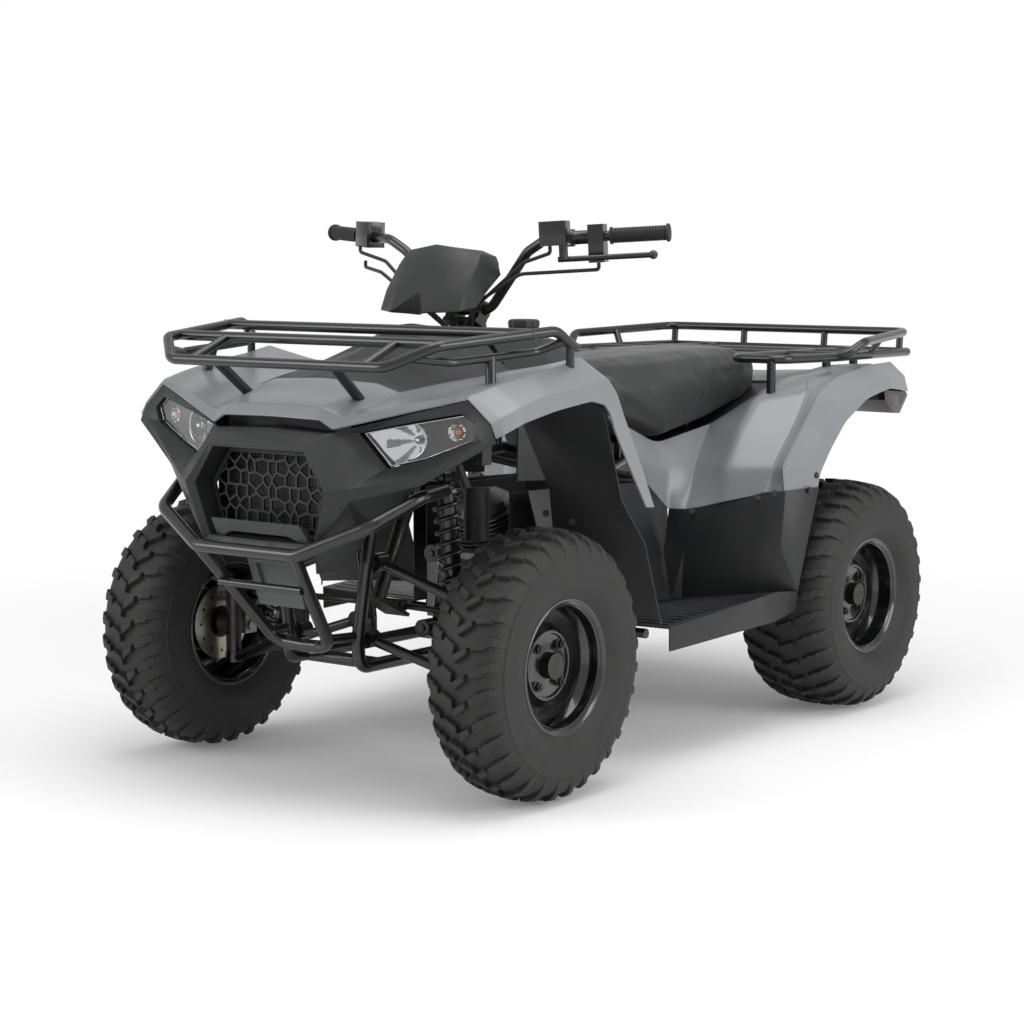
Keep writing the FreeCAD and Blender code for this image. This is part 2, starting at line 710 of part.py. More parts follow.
def front_cover():
    """Black panel over the steering column with a raised dome before it."""
    panel = sheet(with_mirror(grid(placed(front, cover_shares))), panel_wall)
    return panel.cut(rod(column_foot, clamp, column_radius + run_gap + cable_room))


mouth_inner_shares = [(0, -.668, .626), (.248, -.662, .626), (.35, -.664, .472), (.282, -.646, .258),
                      (0, -.656, .258)]
mouth_outer_shares = [(0, -.672, .648), (.262, -.664, .646), (.38, -.69, .476), (.302, -.66, .234),
                      (0, -.67, .234)]
mouth_depth = 60.0
brow_shares = [[(0, -.672, .648), (.262, -.664, .646)], [(0, -.61, .712), (.29, -.588, .70)],
               [(0, -.50, .715), (.27, -.48, .70)]]
lamp_rim_shares = [(.40, -.50, .70), (.52, -.475, .565), (.66, -.42, .60), (.86, -.36, .68), (.885, -.355, .74),
                   (.82, -.372, .79), (.60, -.44, .748)]
lamp_edge_shares = [(.324, -.565, .705), (.46, -.636, .49), (.69, -.47, .545), (.92, -.37, .69), (.945, -.352, .75),
                    (.838, -.36, .842), (.598, -.455, .778)]
ridge_shares = [(.46, -.636, .438), (.69, -.46, .508), (.975, -.362, .682)]
skirt_shares = [(.44, -.464, .34), (.41, -.494, .246), (.25, -.59, .13), (.33, -.524, .148)]
lamp_bezel_back, lamp_bezel_in = 26.0, 8.0


def front_fascia():
    """Black front: a brow, the six-sided mouth, the headlight surrounds and side skirts."""
    inner = [front(*cell) for cell in mouth_inner_shares]
    outer = [front(*cell) for cell in mouth_outer_shares]
    faces = grid([[p + V(0, mouth_depth, 0) for p in inner], inner, outer])
    faces += grid(placed(front, brow_shares))
    rim_in = [front(*cell) for cell in lamp_rim_shares]
    edge = [front(*cell) for cell in lamp_edge_shares]
    back = [p + V(-lamp_bezel_in, lamp_bezel_back, 0) for p in rim_in]
    for i in range(len(edge)):
        j = (i + 1) % len(edge)
        faces.append([edge[i], edge[j], rim_in[j], rim_in[i]])
        faces.append([rim_in[i], rim_in[j], back[j], back[i]])
    ridge = [front(*cell) for cell in ridge_shares]
    knee, shin, foot, heel = [front(*cell) for cell in skirt_shares]
    brow_end = front(*brow_shares[1][1])
    top, side, low = outer[1], outer[2], outer[3]
    faces += [[top, edge[0], brow_end], [top, side, edge[0]], [side, edge[1], edge[0]],
              [ridge[0], ridge[1], edge[2], edge[1]], [ridge[1], ridge[2], edge[3], edge[2]],
              [ridge[2], edge[4], edge[3]], [side, ridge[0], edge[1]], [side, low, ridge[0]], [low, shin, ridge[0]],
              [shin, knee, ridge[0]], [ridge[0], knee, ridge[1]], [low, foot, heel, shin]]
    return sheet(with_mirror(faces), panel_wall)


grille_depth = 44.0
grille_thickness = 5.0
grille_cell = 30.0
grille_web = 4.5
grille_edge = 7.0
grille_inset = 6.0
grille_rows, grille_columns = 4, 7
grille_shift = 5.0              # how far the honeycomb's corners wander, which makes its cells irregular


def wandered(x, z):
    """Moves a corner of the honeycomb a little, always the same way at the same place."""
    turn = math.sin(x * .37 + z * .91) * math.pi * 2
    return x + grille_shift * math.cos(turn), z + grille_shift * math.sin(turn)


def shrunk(corners, by):
    """A convex outline in the XZ plane, moved inwards by a distance."""
    count = len(corners)
    lines = []
    for i in range(count):
        (ax, az), (bx, bz) = corners[i], corners[(i + 1) % count]
        length = math.hypot(bx - ax, bz - az)
        nx, nz = -(bz - az) / length, (bx - ax) / length
        lines.append((nx, nz, nx * ax + nz * az + by))
    result = []
    for i in range(count):
        (a, b, c), (d, e, f) = lines[i - 1], lines[i]
        det = a * e - b * d
        if abs(det) < 1e-6:
            return None
        result.append(((c * e - b * f) / det, (a * f - c * d) / det))
    return result


def grille():
    """Plate of irregular six-sided cells behind the mouth."""
    inner = [front(*cell) for cell in mouth_inner_shares]
    depth = inner[1].y + grille_depth
    outline = [(inner[1].x - grille_inset, inner[1].z - grille_inset), (inner[2].x - grille_inset, inner[2].z),
               (inner[3].x - grille_inset, inner[3].z + grille_inset)]
    outline += [(-x, z) for x, z in reversed(outline)]
    plate = prism([V(x, depth, z) for x, z in outline], V(0, grille_thickness, 0))
    edge = prism([V(x, depth - overrun, z) for x, z in shrunk(list(reversed(outline)), grille_edge)],
                 V(0, grille_thickness + 2 * overrun, 0))
    middle = (inner[1].z + inner[3].z) / 2
    reach = grille_cell / math.sqrt(3)
    cutters = []
    for row in range(-grille_rows, grille_rows + 1):
        for column in range(-grille_columns, grille_columns + 1):
            x = (column + (.5 if row % 2 else 0)) * grille_cell
            z = middle + row * grille_cell * math.sqrt(3) / 2
            if abs(x) > inner[2].x + grille_cell:
                continue
            ring_points = [wandered(round(x + reach * math.cos(math.radians(60 * k + 30)), 3),
                                    round(z + reach * math.sin(math.radians(60 * k + 30)), 3)) for k in range(6)]
            cell = shrunk(ring_points, grille_web / 2)
            if cell:
                through = V(0, grille_thickness + 2 * overrun, 0)
                cutter = prism([V(px, depth - overrun, pz) for px, pz in cell], through)
                cutters.append(cutter)
    holes = Part.makeCompound(cutters).common(edge)
    sound = [piece for piece in holes.Solids if piece.Volume > grille_cell ** 2 * overrun * .1]
    return plate.cut(Part.makeCompound(sound))


lamp_face_shares = [(.41, -.495, .70), (.525, -.47, .573), (.66, -.415, .608), (.852, -.357, .686),
                    (.876, -.352, .74), (.815, -.368, .782), (.60, -.434, .74)]
lamp_sunk = 6.0
lamp_depth = 40.0


def headlight():
    """Lamp body with a clear front face inside the surround."""
    outer = [front(*cell) + V(fit_gap, lamp_sunk, 0) for cell in lamp_face_shares]
    faces = [[outer[0], outer[1], outer[2], outer[6]], [outer[6], outer[2], outer[3], outer[5]],
             [outer[3], outer[4], outer[5]]]
    return sheet(faces, lamp_depth)


# Tubes at the ends

bumper_corner = front(.262, -.736, .22)
bumper_foot = front(.15, -.392, -.204)
cover_top_share, cover_low_share = .06, .58     # the bumper cover's ends, along the bumper's legs
cover_top_half, cover_low_half = 80.0, 60.0
cover_plate, cover_proud, cover_recess = 14.0, 8.0, 7.0
cover_window_share = .62
cover_bar_radius = 8.0
bumper_bend = 45.0
bumper_tie = 10.0


def bumper_plane(share, x, outward):
    """A point on the plane of the bumper's legs, moved out of it by a distance."""
    down = bumper_foot - bumper_corner
    line = V(0, down.y, down.z)
    away = X_AXIS.cross(line).normalize()
    return V(x, bumper_corner.y, bumper_corner.z) + line * share + away * outward


def bumper():
    """Round-tube bumper: bar with swept-up arms, and two down tubes joined at the foot."""
    bar = symmetric_tube([front(0, -.736, .22), front(.27, -.736, .22),
                          front(.57, -.63, .35), front(.652, -.42, .452), front(.60, -.20, .46)],
                         bumper_tube, bumper_bend)
    legs = symmetric_tube([front(0, -.39, -.21), bumper_foot, bumper_corner], bumper_tube, bumper_bend)
    rail_front = lower_pivot.y - arm_spread - upright_offset - frame_tube
    tie_end = V(lower_pivot.x, rail_front - fit_gap, lower_pivot.z + arm_tube)
    ties = both(rod(front(.162, -.43, -.165), tie_end, bumper_tie))
    behind = cover_proud - cover_plate - fit_gap - cover_bar_radius
    middle = (cover_top_share + cover_low_share) / 2
    bar_end = bumper_plane(middle, bumper_corner.x + (bumper_foot.x - bumper_corner.x) * middle, behind)
    return fused([bar, legs, rod(flip(bar_end), bar_end, cover_bar_radius)] + ties)


def bumper_cover():
    """Plastic plate between the bumper's legs with a sunk window."""
    def outline(scale, outward):
        middle = (cover_top_share + cover_low_share) / 2
        half = (cover_low_share - cover_top_share) / 2 * scale
        top = bumper_plane(middle - half, cover_top_half * scale, outward)
        low = bumper_plane(middle + half, cover_low_half * scale, outward)
        return [top, low, flip(low), flip(top)]
    out = (bumper_plane(0, 0, 1.0) - bumper_plane(0, 0, 0)).normalize()
    plate = prism(outline(1.0, cover_proud), out * -cover_plate)
    window = prism(outline(cover_window_share, cover_proud + overrun), out * -(overrun + cover_recess))
    return plate.cut(window)


rack_post = 9.0
rack_bend = 40.0


def front_rack(fender):
    """Tube carrier over the hood: front bar and raised side rails on posts."""
    corner, shoulder = front(.584, -.562, .968), front(.734, -.428, 1.052)
    rail_top, rail_end = front(.872, .184, 1.102), front(.894, .274, 1.03)
    rail = symmetric_tube([V(0, corner.y, corner.z), corner, shoulder, rail_top, rail_end], rack_tube, rack_bend)
    lower_front, lower_back = front(.65, -.505, 1.005), front(.80, .14, 1.015)
    hook, hook_top = rail_top + (rail_end - rail_top) * .8, rail_top + (rail_end - rail_top) * .55
    front_cross = front(.755, -.34, 1.058)
    crosses = [rod(flip(p), p, rack_tube) for p in (front_cross, front(.862, .06, 1.092))]
    side = corner.x * .8
    crosses += both(rod(V(side, corner.y, corner.z), V(side, front_cross.y, front_cross.z), rack_post))
    stays = both(tube([lower_front, front(.74, -.34, .985), lower_back, hook_top], rack_post, rack_bend))
    posts = both(strut_to(fender, front(.32, -.562, .968), front(.30, -.35, .80), rack_tube))
    posts += both(strut_to(fender, front(.766, -.12, .999), front(.80, -.16, .80), rack_tube))
    posts += both(strut_to(fender, hook, hook + V(0, 0, -body_rise * .2), rack_post))
    return fused([rail] + crosses + stays + posts)


tray_share = .91


def rear_rack(fender):
    """Tube carrier over the rear fender: a rail round the sides and back over a lower tray."""
    corner = rear(.732, .95, 1.014)
    side_front, side_back = rear(.78, .12, tray_share), rear(.745, .94, tray_share)
    rail = symmetric_tube([V(0, corner.y, corner.z), corner, rear(.88, .224, .984), rear(.84, .14, .93), side_front],
                          rack_tube, rack_bend)
    back_bar = symmetric_tube([rear(0, .94, tray_share), side_back], rack_tube, rack_bend)
    tray = both(tube([rear(.43, .94, tray_share), rear(.43, -.30, tray_share), rear(.72, -.30, tray_share),
                      side_front, side_back], rack_tube, rack_bend))
    bars = [rod(flip(p), p, rack_tube) for p in (rear(.76, .24, tray_share), rear(.755, .52, tray_share))]
    posts = []
    for x_share in (.25, .70):
        posts += both(rod(rear(x_share, .94, tray_share), rear(x_share, .95, 1.014), rack_post))
    posts += both(rod(rear(.765, .50, tray_share), rear(.81, .52, .992), rack_post))
    for x_share, y_share in ((.66, -.30), (.66, .24), (.66, .52)):
        top = rear(x_share, y_share, tray_share)
        posts += both(strut_to(fender, top, top - V(0, 0, body_rise * .3), rack_tube))
    return fused([rail, back_bar] + tray + bars + posts)


# Middle body

tank_cover_shares = [
    [(0, .66, 1.03), (.18, .66, 1.01), (.26, .66, .90), (.32, .66, .76), (.33, .64, .42)],
    [(0, .95, 1.06), (.19, .95, 1.03), (.27, .95, .90), (.31, .95, .76), (.31, .93, .40)],
    [(0, 1.24, 1.03), (.15, 1.24, 1.0), (.22, 1.24, .88), (.28, 1.24, .76), (.29, 1.22, .38)],
]


def tank_cover():
    """Black ridge over the fuel tank between the shroud and the seat."""
    cover = sheet(with_mirror([list(reversed(f)) for f in grid(placed(front, tank_cover_shares))]), panel_wall)
    slot = rod(column_foot, clamp, column_radius + run_gap + cable_room)
    neck = cap_centre()
    return cover.cut(slot).cut(rod(neck - V(0, 0, body_rise * .2), neck + V(0, 0, overrun), neck_radius + fit_gap))


neck_radius = 24.0
neck_length = 45.0
fuel_cap_radius = 40.0
fuel_cap_height = 27.0
fuel_cap_lobes = 6
fuel_cap_waist_share = .84


def cap_centre():
    return front(0, 1.142, 1.07)


def fuel_cap():
    """Cap with a star-shaped grip on a round neck."""
    centre = cap_centre()
    points = []
    for i in range(fuel_cap_lobes * 2):
        angle = math.pi * i / fuel_cap_lobes
        radius = fuel_cap_radius * (1.0 if i % 2 == 0 else fuel_cap_waist_share)
        points.append(centre + V(radius * math.cos(angle), radius * math.sin(angle), 0))
    neck = rod(centre - V(0, 0, neck_length), centre, neck_radius)
    return prism(points, V(0, 0, fuel_cap_height)).fuse(neck).removeSplitter()


# Each station of the seat: its place, half width, height of its lower edge and height of its top
seat_station_shares = [(-1.28, .20, .80, .905), (-1.084, .29, .66, .915), (-.75, .36, .535, .93),
                       (-.366, .36, .604, .945),
                       (0, .345, .69, .945), (.17, .31, .74, .91), (.20, .26, .77, .86)]
seat_ring_shares = [(0, 1.0), (.55, .985), (.86, .93), (1.0, .70), (.98, 0), (.60, 0)]


def seat():
    """Padded seat: rounded top, and skirts that drop to a point at the knees."""
    stations = []
    for y_share, half, low, top in seat_station_shares:
        upper = [rear(half * x, y_share, low + (top - low) * z) for x, z in seat_ring_shares]
        stations.append(upper + [flip(p) for p in reversed(upper[1:])])
    return body_through(stations)


# Rear body: rows run from the deck's middle out to the wheel arch, each from the tail forwards and down

rear_fender_shares = [
    [(0, .64, .80), (0, .36, .79), (0, .226, .76), None, None, None, None],
    [(.44, .64, .82), (.44, .40, .815), (.40, .206, .78), (.38, -.114, .67), (.34, -.338, .584), (.43, -.608, .416),
     (.48, -.766, .222)],
    [(.62, .62, .85), (.62, .30, .86), (.62, -.10, .812), (.62, -.40, .72), (.64, -.56, .584), (.65, -.70, .402),
     (.66, -.734, .27)],
    [(.72, .60, .86), (.72, .30, .868), (.70, -.064, .828), (.83, -.248, .766), (.86, -.412, .624), (.866, -.628, .424),
     (.85, -.66, .318)],
    [(.84, .58, .874), (.86, .30, .868), (.86, -.02, .82), (.90, -.254, .754), (.924, -.426, .628), (.936, -.652, .43),
     (.936, -.624, .326)],
    [(.86, .70, .798), (.92, .40, .816), (.95, .06, .75), (.97, -.176, .686), (.974, -.34, .576), (.98, -.478, .41),
     (.984, -.464, .336)],
    [(.86, .744, .718), (.93, .42, .75), (.98, .09, .718), (1.0, -.168, .616), (1.0, -.302, .498), (1.0, -.40, .39),
     (1.0, -.422, .334)],
]
knee_panel_shares = [
    [(.33, -1.21, .67), (.37, -1.05, .48), (.37, -.958, .35)],
    [(.30, -.76, .512), (.375, -.80, .40), (.40, -.792, .222)],
    [(.34, -.338, .584), (.43, -.608, .416), (.48, -.766, .222)],
]


def rear_fender():
    """Grey side panels that flare into the rear wheel arches, joined behind the seat."""
    facets = grid(placed(rear, rear_fender_shares)) + grid(placed(rear, knee_panel_shares))
    return sheet(with_mirror(facets), panel_wall)


tail_lamp_shares = [(.51, .76), (.53, .68), (.62, .61), (.69, .606), (.77, .69), (.77, .70), (.70, .76)]
tail_lamp_inner_share, tail_lamp_outer_share = .60, .842
tail_lamp_stay = 8.0


def tail_lamp(fender):
    """Lamp pod hung under the fender's tail."""
    block = prism([rear(tail_lamp_inner_share, y, z) for y, z in tail_lamp_shares],
                  V((tail_lamp_outer_share - tail_lamp_inner_share) * body_half_width, 0, 0))
    foot = rear((tail_lamp_inner_share + tail_lamp_outer_share) / 2, .54, .74)
    return block.fuse(strut_to(fender, foot, foot + V(0, 0, body_rise * .3), tail_lamp_stay))


arch_liner_shares = [
    [(.50, .37, .80), (.75, .36, .84), (1.0, .352, .80)],
    [(.52, .42, .72), (.75, .40, .74), (1.0, .40, .68)],
    [(.50, .66, .40), (.75, .60, .40), (1.0, .50, .40)],
    [(.42, .80, .20), (.75, .76, .20), (1.0, .68, .20)],
    [(.42, .92, -.12), (.75, .88, -.14), (.985, .83, -.15)],
]


def inner_guard():
    """Rear wall of the front wheel arch, down to the footboard."""
    edge = V(-panel_wall - seam_gap, 0, -panel_wall - seam_gap)
    rows = [row[:-1] + [row[-1] + edge] for row in placed(front, arch_liner_shares)]
    return sheet(grid(rows), panel_wall)


foot_wall_shares = [(.33, -1.83, .37), (.42, -1.714, -.20), (.444, -.854, -.218), (.36, -.954, .345)]
foot_outer_shares = [(1.0, -1.698, -.194), (1.0, -.79, -.14), (1.0, -.594, -.156)]
foot_skirt_shares = [(1.0, -1.694, -.30), (1.0, -.804, -.28), (1.0, -.61, -.248)]
foot_rear_shares = [(.48, -.80, -.226), (.84, -.72, -.168)]


def footboard():
    """Tread between the wheels with an inner wall and an outer skirt."""
    wall_front, low_front, low_rear, wall_rear = [rear(*cell) for cell in foot_wall_shares]
    outer = [rear(*cell) for cell in foot_outer_shares]
    skirt = [rear(*cell) for cell in foot_skirt_shares]
    corner, bend = [rear(*cell) for cell in foot_rear_shares]
    faces = [[wall_front, low_front, low_rear, wall_rear], [low_front, outer[0], outer[1]],
             [low_front, outer[1], low_rear],
             [low_rear, outer[1], corner], [corner, outer[1], bend], [bend, outer[1], outer[2]]]
    faces += [[outer[i], skirt[i], skirt[i + 1], outer[i + 1]] for i in range(2)]
    return sheet(faces, panel_wall).cut(wheel_room())


guard_rise = 0.8                # the rear guard's lower edge above the tread
guard_middle_shares = [(.392, -.818, 0), (.482, -.782, 0), (.844, -.694, .04), (.93, -.65, .04), (1.0, -.53, .04)]
guard_low_shares = [(.452, -.838, -.218), (.484, -.798, -.226), (.84, -.718, -.168), (.94, -.64, -.16),
                    (1.0, -.598, -.156)]


def rear_guard():
    """Black wall between the footboard and the rear wheel, under the grey panel's edge."""
    edge = [knee_panel_shares[1][2]] + [rear_fender_shares[i][6] for i in (1, 3, 4, 6)]
    top = [rear(*cell) - V(0, 0, panel_wall * 1.6 + seam_gap) for cell in edge]
    low = [rear(*cell) + V(0, 0, guard_rise) for cell in guard_low_shares]
    return sheet(grid([top, [rear(*cell) for cell in guard_middle_shares], low]), panel_wall).cut(wheel_room())


wheel_gap = 8.0                 # room that panels leave round the rear tyres


def wheel_room():
    """The space of the left rear tyre, which the panels near it keep out of."""
    start = rear_wheel_x - rear_tyre_width / 2 - wheel_gap
    return rod(V(start, rear_axle_y, axle_z), V(start + rear_tyre_width * 2, rear_axle_y, axle_z),
               tyre_diameter / 2 + wheel_gap)


# Structure and machinery

rail_x_share = 0.20
rail_low_share = -0.30
step_bar_share = -0.255
step_bar_tube = 11.0
stay_tube = 10.0
tower_tube = 12.0
tower_drop = 70.0               # feet of the shock tower below its cross tube
neck_back, neck_rise = 26.0, 149.0
cross_back = 60.0
frame_bend, upright_bend = 50.0, 30.0
pin_end = 4.0                   # arm pins beyond the arms' eyes


def frame(panels):
    """Welded tube frame: two side loops, suspension uprights, cross members and panel stays."""
    tubes = []
    foot = V(lower_pivot.x, lower_pivot.y - arm_spread - upright_offset, lower_pivot.z)
    low_front = front(rail_x_share, (foot.y - front_axle_y) / body_reach, rail_low_share)
    head = V(upper_pivot.x, foot.y, upper_pivot.z)
    neck = head + V(0, neck_back, neck_rise)
    rail = [neck, head, foot, low_front, rear(.20, -.76, rail_low_share), rear(.20, -.70, -.10), rear(.20, -.58, .30),
            rear(.21, .30, .55), rear(.21, .60, .60)]
    tubes += both(tube(rail, frame_tube, frame_bend))
    tubes += both(tube([neck, front(.24, .10, .52), front(.20, .70, .56), rear(.20, -.90, .36), rear(.20, -.57, .32)],
                       frame_tube, frame_bend))
    upright_y = front_axle_y + arm_spread + upright_offset
    upright = [V(lower_pivot.x, upright_y, low_front.z), V(lower_pivot.x, upright_y, lower_pivot.z),
               V(upper_pivot.x, upright_y, upper_pivot.z), front(.24, (upright_y - front_axle_y) / body_reach, .50)]
    tubes += both(tube(upright, frame_tube, upright_bend))
    for pivot in (lower_pivot, upper_pivot):
        for way in (-1, 1):
            eye = pivot + V(0, way * arm_spread, 0)
            start = eye - V(0, way * (arm_eye_length / 2 + pin_end), 0)
            tubes += both(rod(start, eye + V(0, way * upright_offset, 0), arm_pin_radius))
    crosses = [neck, low_front + V(0, cross_back, 0), rear(.20, -.76, rail_low_share), rear(.20, -.58, .30),
               rear(.21, .60, .60), front(.20, .70, .56), front(rail_x_share, .62, rail_low_share)]
    tubes += [rod(flip(p), p, frame_tube) for p in crosses]
    tower = shock_top + V(frame_tube, shock_eye_width, 0)
    tubes.append(rod(flip(tower), tower, tower_tube))
    for side in (1, -1):
        eye = V(side * shock_top.x, shock_top.y, shock_top.z)
        pin_start = eye - V(0, shock_eye_width / 2 + swing_gap, 0)
        tubes.append(rod(pin_start, eye + V(0, shock_eye_width, 0), shock_pin_radius))
        tubes.append(rod(V(side * shock_top.x * .55, tower.y, tower.z),
                         V(side * upper_pivot.x, tower.y, tower.z - tower_drop), tower_tube))
    for y_share in (.98, 1.42):
        end = front(.80, y_share, step_bar_share)
        tubes.append(rod(flip(end), end, step_bar_tube))
    for panel, start, end in panels:
        tubes += both(strut_to(panel, start, end, stay_tube))
    return fused(tubes)


engine_half_width_share = 0.24


def engine():
    """Plain block at the engine's place and size, on the frame's cross members."""
    low = front(-engine_half_width_share, .50, step_bar_share) + V(0, 0, step_bar_tube + fit_gap)
    high = front(engine_half_width_share, 1.50, .36)
    return box(low, high)


shock_body_radius = 25.0
shock_rod_radius = 9.0
spring_radius = 28.0
spring_wire = 5.0
spring_turns = 8
cup_thickness = 8.0
shock_top_gap, shock_foot_gap = 18.0, 34.0      # damper body from the two eyes
spring_top_gap, spring_foot_gap = 30.0, 32.0    # spring cups from the two eyes


def shock_front():
    """Coil-over damper from the frame to the lower arm: eyes, body and spring."""
    along = (shock_foot - shock_top).normalize()
    half = V(0, shock_eye_width / 2, 0)
    top_cup, foot_cup = shock_top + along * spring_top_gap, shock_foot - along * spring_foot_gap
    pieces = [rod(shock_top - half, shock_top + half, shock_eye_radius),
              rod(shock_foot - half, shock_foot + half, shock_eye_radius),
              rod(shock_top, shock_foot, shock_rod_radius),
              rod(shock_top + along * shock_top_gap, shock_foot - along * shock_foot_gap, shock_body_radius),
              rod(top_cup, top_cup + along * cup_thickness, spring_radius + spring_wire),
              rod(foot_cup, foot_cup - along * cup_thickness, spring_radius + spring_wire)]
    start, end = top_cup + along * cup_thickness, foot_cup - along * cup_thickness
    for i in range(spring_turns):
        centre = start + (end - start) * ((i + .5) / spring_turns)
        pieces.append(rod(centre - along * spring_wire, centre + along * spring_wire, spring_radius + spring_wire))
    body = fused(pieces)
    for eye in (shock_top, shock_foot):
        body = body.cut(rod(eye - half * 2, eye + half * 2, shock_pin_radius + fit_gap))
    return body


axle_shaft_radius = 17.0
carrier_radius = 42.0
carrier_half = 105.0
pivot_back, pivot_rise = 36.0, 24.0             # swingarm pivot from the frame's cross member
swing_leg = 22.0
hitch_half_width = 25.0
hitch_thickness = 8.0
hitch_bore_radius = 8.0
hitch_reach = 80.0              # hitch pin hole behind the axle
hitch_hole = V(0, rear_axle_y + hitch_reach, axle_z)


brake_disc_x, brake_disc, brake_disc_radius = 135.0, 5.0, 92.0
brake_hub_half, brake_hub_radius = 14.0, 32.0


def rear_axle():
    """Solid axle shaft with wheel hubs and a brake disc."""
    reach = rear_wheel_x + rear_dish
    pieces = [rod(V(-reach, rear_axle_y, axle_z), V(reach, rear_axle_y, axle_z), axle_shaft_radius)]
    for side in (1, -1):
        pieces += [at_wheel(piece, side, rear_wheel_x, rear_axle_y) for piece in hub(rear_dish)]
    disc = V(brake_disc_x, rear_axle_y, axle_z)
    half = V(brake_hub_half, 0, 0)
    pieces += [rod(disc, disc + V(brake_disc, 0, 0), brake_disc_radius),
               rod(disc - half, disc + half, brake_hub_radius)]
    return fused(pieces)


def swingarm():
    """Rear arm from the frame's pivot to the axle carrier."""
    centre = V(0, rear_axle_y, axle_z)
    half = V(carrier_half, 0, 0)
    pivot = rear(.13, -.76, rail_low_share) + V(0, pivot_back, pivot_rise)
    pieces = [rod(centre - half, centre + half, carrier_radius), rod(flip(pivot), pivot, axle_shaft_radius)]
    pieces += both(rod(V(carrier_half - swing_leg, rear_axle_y, axle_z), pivot - V(frame_tube, 0, 0), swing_leg))
    tie = V(pivot.x, rear_shock_foot.y, rear_shock_foot.z)
    pieces.append(rod(flip(tie), tie, swing_tie_radius))
    hitch_end = hitch_hole + V(0, hitch_half_width, 0)
    pieces.append(box(V(-hitch_half_width, rear_axle_y + carrier_radius / 2, axle_z),
                      V(hitch_half_width, hitch_end.y, axle_z + hitch_thickness)))
    arm = fused(pieces).cut(rod(centre - half * 2, centre + half * 2, axle_shaft_radius + fit_gap))
    return arm.cut(rod(hitch_hole - V(0, 0, overrun), hitch_hole + V(0, 0, overrun), hitch_bore_radius))


canister_foot = V(150.0, front_axle_y + body_reach * .396, body_base_z + body_rise * .18)
canister_height = 113.0
canister_radius = 28.0
silencer_front, silencer_back = rear(-.41, -.274, .32), rear(-.41, .526, .42)
silencer_radius = 52.0
pipe_radius = 17.0
hanger_radius = 7.0


def canister():
    """Vapour canister beside the left front damper."""
    return rod(canister_foot, canister_foot + V(0, 0, canister_height), canister_radius)


def exhaust(carrier):
    """Pipe from the engine's rear to a silencer on the right, hung from the frame's rail."""
    start = front(-.16, 1.50, .16) + V(0, fit_gap, 0)
    along = (silencer_back - silencer_front).normalize()
    pipe = tube([start, start + V(0, body_reach * .16, 0), rear(-.34, -.654, .14),
                 silencer_front - along * silencer_radius,
                 silencer_front + along * silencer_radius], pipe_radius, frame_bend)
    middle = silencer_front + (silencer_back - silencer_front) * .7
    rail = V(-rear(.21, .30, .55).x, middle.y, rear(.21, .30, .55).z)
    hanger = strut_to(carrier, middle, rail, hanger_radius)
    tail = rod(silencer_back, silencer_back + along * silencer_radius, pipe_radius)
    return fused([pipe, rod(silencer_front, silencer_back, silencer_radius), hanger, tail])


rear_spring_radius = 32.0
rear_eye_wall = 9.0
swing_tie_y_share = -.274
swing_tie_radius = 10.0
rear_shock_top = V(0, rear(0, -.58, 0).y, rear(0, 0, .30).z)
rear_shock_foot = V(0, rear(0, swing_tie_y_share, 0).y, axle_z)


def shock_rear():
    """Single damper from the frame's cross member to the swingarm's tie."""
    along = (rear_shock_foot - rear_shock_top).normalize()
    eye = frame_tube + fit_gap + rear_eye_wall
    pieces = [rod(rear_shock_top + along * eye * .8, rear_shock_foot - along * eye * .8, shock_body_radius * .7),
              rod(rear_shock_top + along * eye * 1.6, rear_shock_foot - along * eye * 1.6, rear_spring_radius)]
    bores = []
    for centre, bore in ((rear_shock_top, frame_tube), (rear_shock_foot, swing_tie_radius)):
        half = V(shock_eye_width, 0, 0)
        pieces.append(rod(centre - half, centre + half, bore + fit_gap + rear_eye_wall))
        bores.append(rod(centre - half * 2, centre + half * 2, bore + fit_gap))
    return fused(pieces).cut(Part.makeCompound(bores))


def panel_stays(nodes, board):
    """The panels that frame stays carry, with each stay's start on the frame and a point beyond the panel."""
    return [
        (nodes["front_fender"], front(.24, -.20, .44), front(.28, -.42, .92)),
        (nodes["front_fender"], front(.22, .12, .52), front(.62, .10, 1.0)),
        (nodes["tank_cover"], front(.21, .66, .56), front(.21, .70, 1.2)),
        (nodes["rear_fender"], rear(.21, .45, .57), rear(.22, .47, .95)),
        (nodes["seat"], rear(.205, -.35, .37), rear(.205, -.35, .80)),
        (board, front(.54, .98, step_bar_share), front(.54, .98, 0)),
        (board, front(.54, 1.42, step_bar_share), front(.54, 1.42, 0)),
        (nodes["canister"], front(.22, .35, .53), canister_foot + V(0, 0, canister_height / 2)),
    ]


